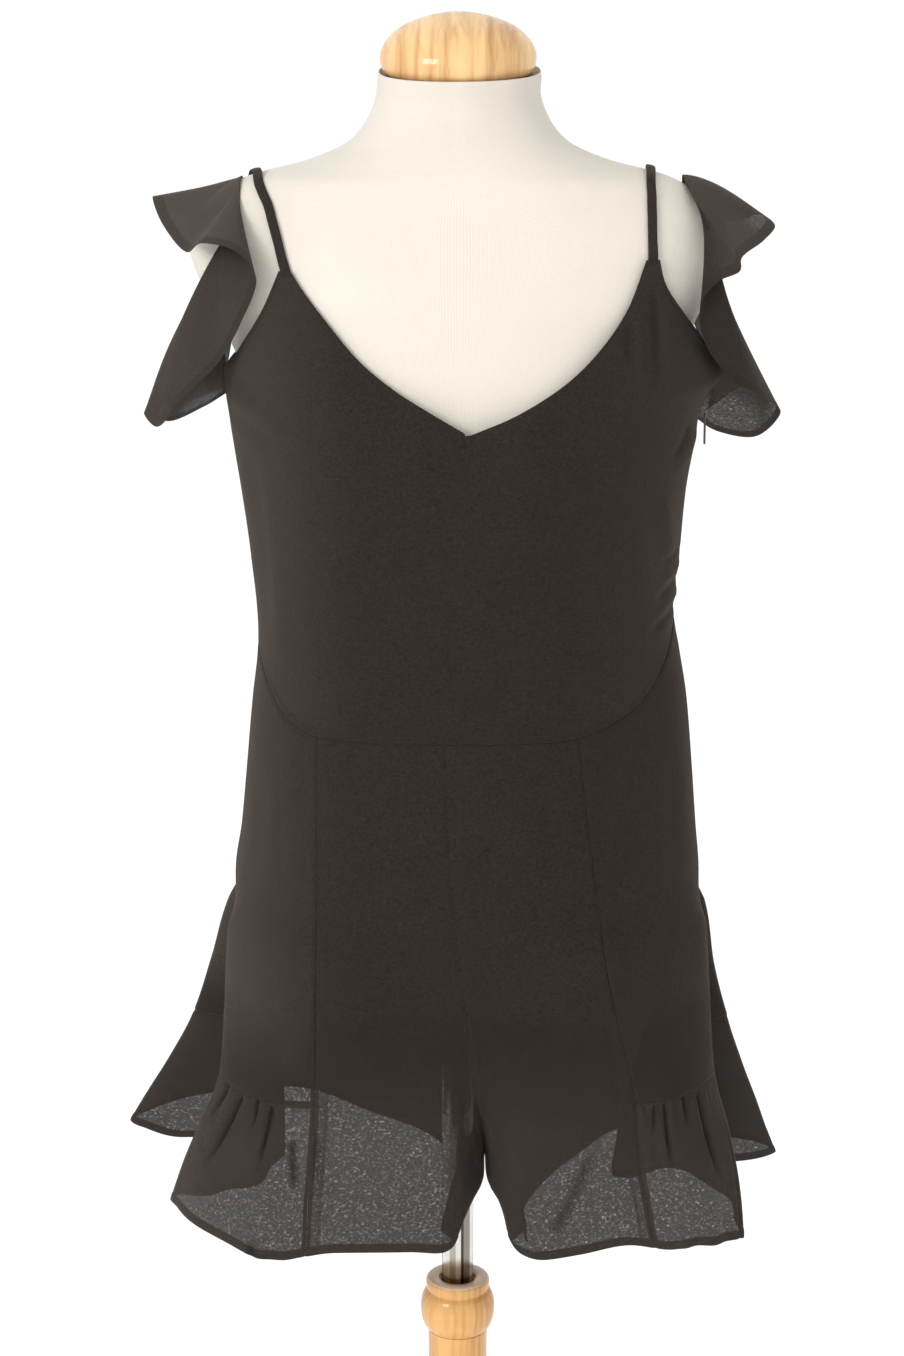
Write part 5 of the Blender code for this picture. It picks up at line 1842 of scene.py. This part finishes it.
@dataclass
class Sleeves:
    """Two flounce sleeves that fall in folds over the shoulders."""

    shape: GarmentShape
    material: bpy.types.Material
    thickness: float = 0.55
    columns: int = 300
    hem_width: float = 7.5
    # How opaque the cloth is away from its sheer spots.
    closed: float = 0.9
    FLAT = ((0.48, 0.085), 0.030)
    # Fold line and share of the drop at the middle of each sheer spot, and its size in both.
    SHEER_SPOTS = {
        Side.LEFT: ((3.6, 0.95, 1.4, 0.24), (1.0, 0.85, 0.8, 0.22)),
        Side.RIGHT: ((1.2, 0.85, 1.2, 0.36), (3.2, 0.98, 0.8, 0.14), (12.0, 0.82, 0.9, 0.26)),
    }
    # How far painted light from behind lifts the tone at the fold lines.
    LIT = {
        Side.LEFT: Track((0, 3, 6, 8, 9, 14, 15, 21),
                         (0.25, 0.30, 0.34, 0.30, 0.62, 0.68, 0.4, 0.3)),
        Side.RIGHT: Track((0, 3, 5, 7, 9, 12, 14, 21), (0.5, 0.35, 0.1, 0.06, 0.35, 0.5, 0.4, 0.2)),
    }

    def _place(self, side: Side, place: Array, share: Array) -> Array:
        """Points of a sleeve by fold line and by share of the way to its hem."""
        seam = np.array([row[0] for row in SLEEVE_FOLDS[side]], float)
        hem = np.array([row[1] for row in SLEEVE_FOLDS[side]], float)
        start, stop = along(seam, place), along(hem, place)
        straight = start + (stop - start) * share[..., None]
        away = unit(straight - np.array(SHOULDER_MIDDLE[side]))
        arches = [row[2] for row in SLEEVE_FOLDS[side]]
        arch = Track(range(len(arches)), arches).at(place) * np.sin(math.pi * share ** 0.75)
        return straight + away * arch[..., None]

    def sleeve(self, side: Side) -> bpy.types.Object:
        """Build one sleeve."""
        last = len(SLEEVE_FOLDS[side]) - 1.0
        shares = ruled(95.0, 2.2, (0.6, 1.6, 3.0), (0.7, 6.6, 7.3, 8.0, 8.8))
        place, share = np.meshgrid(np.linspace(0.0, last, self.columns + 1), shares)
        points = self._place(side, np.clip(place, 0.0, last - 1e-6), share)
        points = self.shape.form.clear(points, FORM_CLEARANCE + self.thickness / 2.0)
        round_way, down_way = np.gradient(points, axis=1), np.gradient(points, axis=0)
        normal = unit(np.cross(round_way, down_way)) * side.sign
        sheer = np.zeros(place.shape)
        for middle, drop, wide, tall in self.SHEER_SPOTS[side]:
            reach = np.hypot((place - middle) / wide, (share - drop) / tall)
            sheer = np.maximum(sheer, 1.0 - smooth_step(0.6, 1.3, reach))
        finish = Finish(top=Edge.SEAM, bottom=Edge.HEM, bottom_width=self.hem_width,
                        top_width=4.0, dip=0.3)
        node = "sleeve_" + side.value
        item = cloth_piece("cloth_" + node, node, points, normal, finish, self.material,
                           self.thickness, 0.0, backed=self.closed * (1.0 - sheer),
                           lit=self.LIT[side].at(place))
        return item

    def build(self) -> list[bpy.types.Object]:
        """Build both sleeves."""
        return [self.sleeve(side) for side in Side]


@dataclass
class Straps:
    """Two narrow straps from the front peaks over the shoulders to the back peaks."""

    shape: GarmentShape
    material: bpy.types.Material
    width: float = STRAP_WIDTH
    thickness: float = STRAP_THICKNESS
    steps: int = 170
    around: int = 20
    tuck: float = 4.0
    # Sideways tilt of the straps' flat side and power of their rounded section.
    cant: float = 0.25
    fullness: float = 0.8
    # Distance in front from which the straps look straight.
    watched_from: float = 2120.0
    # Slope down of that view, in degrees.
    look_down: float = 15.5

    def _on_form(self, x: float, height: float, front: bool, lift: float) -> tuple:
        """A spot of the route on the front or the back of the torso."""
        half_width, front_depth, back_depth = self.shape.form.section(np.float64(height))
        depth = front_depth if front else back_depth
        y = float(depth * (1.0 - abs(x / half_width) ** ROUNDNESS) ** (1.0 / ROUNDNESS))
        return (x, -y - lift if front else y + lift, height)

    def _seen_height(self, y: float, height: float) -> float:
        """Height of a spot for an eye that looks down on it."""
        lean = math.radians(self.look_down)
        return height * math.cos(lean) + y * math.sin(lean)

    def _route(self, side: Side) -> Array:
        """Points along the middle of a strap."""
        front_x, top_x, back_x, front_height, back_height = STRAP_ROUTES[side]
        lift = FORM_CLEARANCE + self.thickness / 2.0
        fronts = (front_height,) + STRAP_FRONT_HEIGHTS
        backs = STRAP_BACK_HEIGHTS + (back_height,)
        crown = float(self.shape.form.top(np.array([top_x], float), np.array([0.0]))[0])
        foot = self._on_form(front_x, front_height, True, lift)
        low = self._seen_height(foot[1], foot[2])
        climb = (top_x - front_x) / (self._seen_height(0.0, crown + lift) - low)

        def straight(y: float, height: float) -> float:
            """x of a spot that looks in line with the foot and the crown."""
            x = front_x + climb * (self._seen_height(y, height) - low)
            return x * ((self.watched_from + y) / (self.watched_from + foot[1]))

        marks = []
        for height in fronts:
            mark = (front_x, foot[1], height)
            for _ in range(4):
                mark = self._on_form(straight(mark[1], mark[2]), height, True, lift)
            marks.append(mark)
        for y in STRAP_CREST_DEPTHS:
            x = straight(y, crown + lift)
            crest = float(self.shape.form.top(np.array([x], float), np.array([y], float))[0])
            marks.append((x, y, crest + lift))
        top_x = marks[-1][0]
        marks += [self._on_form(top_x + (back_x - top_x) * (step + 1) / len(backs), height, False,
                                lift) for step, height in enumerate(backs)]
        marks = np.array(marks, float)
        path = along(marks, np.linspace(0.0, len(marks) - 1.0, self.steps + 1))
        path = self.shape.form.clear(path, lift)
        # The ends are tucked into the peaks of the bodice.
        path[0] += unit(path[0] - path[1]) * self.tuck
        path[-1] += unit(path[-1] - path[-2]) * self.tuck
        return path

    def strap(self, side: Side) -> bpy.types.Object:
        """Build one strap as a flattened tube."""
        path = self._route(side)
        way = unit(np.gradient(path, axis=0))
        lean = np.array((1.0, 0.0, -side.sign * self.cant))
        across = unit(lean - way * (way @ lean)[:, None])
        up = np.cross(way, across)
        angle = np.linspace(0.0, math.tau, self.around + 1)
        flat, tall = (np.sign(wave) * np.abs(wave) ** self.fullness * size / 2.0
                      for wave, size in ((np.cos(angle), self.width),
                                         (np.sin(angle), self.thickness)))
        travel = travelled(path)
        puff = 1.0 + 0.05 * swell(travel * 4.0, travel * 2.0, 0.7)[:, None]
        points = (path[:, None] + across[:, None] * (flat * puff)[..., None]
                  + up[:, None] * (tall * puff)[..., None])
        outward = unit(points - path[:, None])
        name = "strap_" + side.value
        # The backed map's second number paints a little light into the straps' tone.
        maps = {title: np.full(points.shape[:2] + (2,), pair)
                for title, pair in (("near", (50.0, 50.0)), ("far", (50.0, 50.0)),
                                    ("press", (0.0, NO_STRIP)), ("backed", (1.0, 0.1)))}
        mesh = closed_round(laid_grid("cloth_" + name, points, maps, outward))
        return stand_for(link("cloth_" + name, mesh, self.material), name)

    def build(self) -> list[bpy.types.Object]:
        """Build both straps."""
        return [self.strap(side) for side in Side]


@dataclass
class Zip:
    """The slider of the invisible zip and its hanging pull tab."""

    material: bpy.types.Material
    # Share of the slider's width that is lost at its lower end.
    narrowing: float = 0.24
    # Rounding of the slider's and of the tab's edges, in millimetres.
    slider_round: float = 0.5
    tab_round: float = 0.3
    # Share of the tab's length and half width down its outline.
    OUTLINE = ((0.0, 0.40), (0.10, 0.46), (0.28, 0.50), (0.50, 0.70), (0.70, 0.94),
               (0.84, 1.0), (0.94, 0.80), (0.985, 0.42), (1.0, 0.0))

    def slider(self) -> bpy.types.Object:
        """Build the slider: a shaped plate with a loop that holds the tab."""
        low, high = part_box("zip_slider")
        centre = (low + high) / 2.0
        size = high - low
        data = bmesh.new()
        bmesh.ops.create_cube(data, size=1.0)
        bmesh.ops.subdivide_edges(data, edges=data.edges[:], cuts=2, use_grid_fill=True)
        for vert in data.verts:
            vert.co.y *= float(1.0 - self.narrowing * smooth_step(0.1, -0.5, vert.co.z))
        bmesh.ops.scale(data, vec=size, verts=data.verts[:])
        rim = [e for e in data.edges if e.calc_face_angle(0.0) > 0.6]
        bmesh.ops.bevel(data, geom=rim, offset=self.slider_round * MM, offset_type="OFFSET",
                        segments=3, profile=0.5, affect="EDGES", material=-1)
        bmesh.ops.translate(data, vec=centre, verts=data.verts[:])
        name = "metal_zip_slider"
        return stand_for(link(name, mesh_of(name, data), self.material), "zip_slider")

    def pull(self) -> bpy.types.Object:
        """Build the pull tab: a thin drop-shaped plate with rounded edges."""
        low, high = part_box("zip_pull")
        centre_x, half = (low.x + high.x) / 2.0, (high.x - low.x) / 2.0
        top, bottom, wide = high.z, low.z, (high.y - low.y) / 2.0
        length = top - bottom
        data = bmesh.new()
        ring = list(self.OUTLINE)
        ring += [(along_it, -share) for along_it, share in reversed(self.OUTLINE[:-1])]
        verts = [data.verts.new((centre_x + half, share * wide, top - along_it * length))
                 for along_it, share in ring]
        face = data.faces.new(verts)
        grown = bmesh.ops.extrude_face_region(data, geom=[face])
        moved = [part for part in grown["geom"] if isinstance(part, bmesh.types.BMVert)]
        bmesh.ops.translate(data, vec=(-2.0 * half, 0.0, 0.0), verts=moved)
        bmesh.ops.recalc_face_normals(data, faces=data.faces[:])
        rim = [e for e in data.edges if e.calc_face_angle(0.0) > 1.0]
        bmesh.ops.bevel(data, geom=rim, offset=self.tab_round * MM, offset_type="OFFSET",
                        segments=2, profile=0.5, affect="EDGES", material=-1)
        name = "metal_zip_pull"
        item = link(name, mesh_of(name, data), self.material)
        item.data.set_sharp_from_angle(angle=SHARP_ANGLE)
        return stand_for(item, "zip_pull", PULL_BODY)

    def build(self) -> list[bpy.types.Object]:
        """Build the slider and the tab."""
        return [self.slider(), self.pull()]


# ---------------------------------------------------------------- the dress form and its stand
@dataclass
class DressForm:
    """Torso in a jersey cover with a varnished wooden cap on its neck."""

    form: FormShape
    jersey: bpy.types.Material
    wood: bpy.types.Material
    facets: int = 160
    # Rows up to the shoulders, the height where those start and rows from there to the neck.
    low_rows: int = 150
    shoulder_start: float = 1280.0
    high_rows: int = 70
    # How far the neck's edge stands out all round and how much further at the right.
    lip: float = 0.7
    right_lip: float = 2.4
    # How far out and up each ring of the covered rim at the neck lies.
    RIM = ((0.1, 1.6), (-0.5, 2.5), (-1.1, 2.3), (-1.5, -0.6))
    # Distance in from the cap's radius and height down its outline.
    CAP = ((5.0, 0.0), (2.4, 2.2), (0.6, 6.5), (0.0, 11.4), (0.8, 16.0), (3.4, 21.2), (8.4, 27.0),
           (15.8, 32.2), (25.5, 36.4), (36.5, 39.6), (46.5, 41.2), (CAP_RADIUS, CAP_HEIGHT))

    def torso(self) -> bpy.types.Object:
        """Build the torso with its covered rim at the neck."""
        heights = np.concatenate(
            (np.linspace(FORM_BOTTOM, self.shoulder_start, self.low_rows)[1:],
             np.linspace(self.shoulder_start, NECK_TOP, self.high_rows)[1:]))
        angle, height = np.meshgrid(np.linspace(0.0, math.tau, self.facets + 1), heights)
        points = self.form.point(angle, height)
        axis = points * np.array((0.0, 0.0, 1.0))
        outward = unit(points - axis)
        outward[..., 2] = 0.0
        flare = self.lip * smooth_step(NECK_TOP - 14.0, NECK_TOP, height)
        points = points + outward * flare[..., None]
        to_right = smooth_step(0.3, 1.0, np.cos(angle)) * flare
        points[..., 0] += self.right_lip * to_right
        rim = [points[-1] + np.array((0.0, 0.0, rise)) + outward[-1] * out
               for out, rise in self.RIM]
        foot = [points[0] + np.array((0.0, 0.0, -1.4)) - outward[0] * 0.6,
                points[0] * np.array((1.0, 1.0, 0.0)) * 0.975 + np.array((0.0, 0.0, FORM_BOTTOM))]
        points = np.concatenate((foot[::-1], points, rim))
        outward = np.concatenate((outward[:1], outward[:1], outward) + (outward[-1:],) * 4)
        up = travelled(points)
        even = np.linspace(0.0, 0.9, self.facets + 1)[None] * np.ones(points.shape[:2])
        mesh = laid_grid("jersey_torso", points, {"near": np.stack((even, up * MM), axis=-1)},
                         outward)
        item = link("jersey_torso", closed_round(mesh), self.jersey)
        return stand_for(item, "form_torso")

    def cap(self) -> bpy.types.Object:
        """Build the domed cap, tilted with the neck."""
        profile = [(0.0, 0.0)] + rounded([(CAP_RADIUS - inset, z) for inset, z in self.CAP])
        tilt = Matrix.Rotation(math.radians(NECK_TILT_FRONT), 4, "X")
        roll = Matrix.Rotation(math.radians(-NECK_TILT_SIDE), 4, "Y")
        place = Matrix.Translation((0.0, 0.0, (NECK_TOP + REST_GAP) * MM)) @ roll @ tilt
        item = lathe("wood_neck_cap", profile, self.wood, 128, place)
        return stand_for(item, "neck_cap")

    def build(self) -> list[bpy.types.Object]:
        """Build the torso and its cap."""
        return [self.torso(), self.cap()]


@dataclass
class Stand:
    """Chrome pole in a turned wooden collar, column and round base."""

    wood: bpy.types.Material
    plank: bpy.types.Material
    chrome: bpy.types.Material
    # Radius and height of the outlines.
    BULB = ((22.4, COLLAR_BOTTOM), (24.6, 458.5), (27.0, 464.5), (28.1, 472.5), (27.7, 479.5),
            (25.6, 485.6), (23.2, 488.6))
    RING = ((23.2, 488.6), (23.9, 490.6), (24.1, 494.0), (23.8, 496.6), (22.6, COLLAR_TOP))
    SHAFT = ((38.0, 34.6), (39.0, 40.0), (37.5, 47.0), (30.0, 60.0), (26.2, 80.0), (27.5, 200.0),
             (26.0, 320.0), (23.2, 400.0), (22.2, 438.0), (22.5, COLLAR_BOTTOM - REST_GAP))
    # Distance in from the base's radius and height of its edge, then of its upper side.
    BASE_EDGE = ((4.0, 0.0), (0.8, 1.4), (0.0, 5.0), (0.0, 14.0), (1.6, 19.0))
    BASE_UPPER = ((5.0, 20.4), (8.0, 23.6), (16.0, 26.6), (32.0, 29.0), (80.0, 31.6),
                  (128.0, BASE_THICKNESS))

    def build(self) -> list[bpy.types.Object]:
        """Build the four parts."""
        foot, tip = POLE_SEAT + REST_GAP, FORM_BOTTOM - REST_GAP
        pole = ((0.0, foot), (POLE_RADIUS - 0.8, foot), (POLE_RADIUS, foot + 0.8),
                (POLE_RADIUS, tip - 0.8), (POLE_RADIUS - 0.8, tip), (0.0, tip))
        collar = [(0.0, COLLAR_BOTTOM)] + rounded(self.BULB) + rounded(self.RING)[1:]
        collar += [(SOCKET_RADIUS + 0.8, COLLAR_TOP), (SOCKET_RADIUS, COLLAR_TOP - 0.8),
                   (SOCKET_RADIUS, COLLAR_TOP - 2.4), (POLE_RADIUS + 0.4, COLLAR_TOP - 2.4),
                   (POLE_RADIUS + 0.4, POLE_SEAT), (0.0, POLE_SEAT)]
        low, top = BASE_THICKNESS + REST_GAP, COLLAR_BOTTOM - REST_GAP
        column = [(0.0, low), (38.0, low)] + rounded(self.SHAFT)[1:] + [(0.0, top)]
        base = [(0.0, 0.0)]
        for outline in (self.BASE_EDGE, self.BASE_UPPER):
            base += rounded([(BASE_RADIUS - inset, z) for inset, z in outline])
        base += [(0.0, BASE_THICKNESS)]
        return [stand_for(lathe(name + "_" + node, profile, material, facets), node)
                for name, node, slot, profile, material, facets in (
                    ("chrome", "pole", "chrome", pole, self.chrome, 64),
                    ("wood", "collar", "wood_varnished", collar, self.wood, 96),
                    ("wood", "column", "wood_varnished", column, self.wood, 96),
                    ("wood", "base", "wood_varnished", base, self.plank, 128))]


# ---------------------------------------------------------------- studio
@dataclass
class Studio:
    """Pale floor, soft lamps, white surroundings and the camera."""

    camera_place: tuple[float, float, float] = (-0.0043, -2.12, 1.558)
    pitch: float = 15.5
    # Focal length over the picture's height, for a sensor of the size below.
    focal: float = 3056.0 / 1356.0
    sensor: float = 24.0
    surround: float = 1.0
    floor_radius: float = 60.0
    # Name, place, aim, length of the side and power in watts of each lamp.
    LAMPS = (("key_lamp", (-2.3, -2.55, 2.4), (0.0, 0.0, 1.1), 1.3, 64.0),
             ("fill_lamp", (0.5, -3.2, 1.5), (0.0, 0.0, 1.1), 1.6, 4.0))

    def camera(self) -> None:
        """Place the camera."""
        lens = bpy.data.cameras.new("camera")
        lens.sensor_fit = "AUTO"
        lens.sensor_width = self.sensor
        lens.lens = self.focal * self.sensor
        lens.clip_end = 200.0
        item = bpy.data.objects.new("camera", lens)
        item.location = self.camera_place
        item.rotation_euler = (math.radians(90.0 - self.pitch), 0.0, 0.0)
        bpy.context.scene.collection.objects.link(item)
        bpy.context.scene.camera = item

    def lamp(self, name: str, place: tuple[float, float, float], aim: tuple[float, float, float],
             size: float, power: float) -> None:
        """Add a square soft lamp.

        Args:
            name: Its name.
            place: Where it stands.
            aim: What it points at.
            size: Length of its side.
            power: Watts.
        """
        light = bpy.data.lights.new(name, "AREA")
        light.size = size
        light.energy = power
        item = bpy.data.objects.new(name, light)
        item.location = place
        way = Vector(aim) - Vector(place)
        item.rotation_euler = way.to_track_quat("-Z", "Y").to_euler()
        bpy.context.scene.collection.objects.link(item)

    def build(self) -> None:
        """Set up floor, surroundings and lamps."""
        data = bmesh.new()
        bmesh.ops.create_circle(data, cap_ends=True, segments=64, radius=self.floor_radius)
        link("floor", mesh_of("floor", data), Paper("paper_floor").make())
        world = bpy.data.worlds.new("white_surround")
        world.use_nodes = True
        world.node_tree.nodes["Background"].inputs[0].default_value = (1.0, 1.0, 1.0, 1.0)
        world.node_tree.nodes["Background"].inputs[1].default_value = self.surround
        bpy.context.scene.world = world
        bpy.context.scene.view_settings.view_transform = "Standard"
        for row in self.LAMPS:
            self.lamp(*row)


def main() -> None:
    """Build the camera, the garment, the dress form, its stand and the studio."""
    logging.basicConfig(level=logging.INFO, format="%(name)s: %(message)s")
    studio = Studio()
    studio.camera()
    form = FormShape()
    shape = GarmentShape(form)
    crepe = Crepe("crepe_black").make()
    close_crepe = Crepe("crepe_black_close", single=0.028).make()
    cap_wood = Pine("pine_cap", pale=(0.78, 0.515, 0.24), ring=(0.42, 0.18, 0.05), sawn=0.15)
    stand_pale = (0.70, 0.385, 0.135)
    stand_wood = Pine("pine_stand", pale=stand_pale, rings=150.0, cut_top=COLLAR_TOP * MM)
    plank = Pine("pine_base", grain=Grain.ACROSS, pale=stand_pale)
    dark_metal = Metal("metal_dark", (0.06, 0.058, 0.055), (0.16, 0.155, 0.15), 0.25, 0.45)
    strap_crepe = Crepe("crepe_strap", single=0.0001)
    parts = [
        Bodice(shape, crepe, close_crepe), Legs(shape, crepe, close_crepe),
        Ruffles(shape, crepe), Sleeves(shape, crepe),
        Straps(shape, strap_crepe.make()), Zip(dark_metal.make()),
        DressForm(form, Jersey("jersey").make(), cap_wood.make()),
        Stand(stand_wood.make(), plank.make(), Chrome("chrome").make()),
    ]
    for part in parts:
        pieces = part.build()
        LOG.info("%s: %d pieces", type(part).__name__, len(pieces))
    studio.build()


if __name__ == "__main__":
    main()
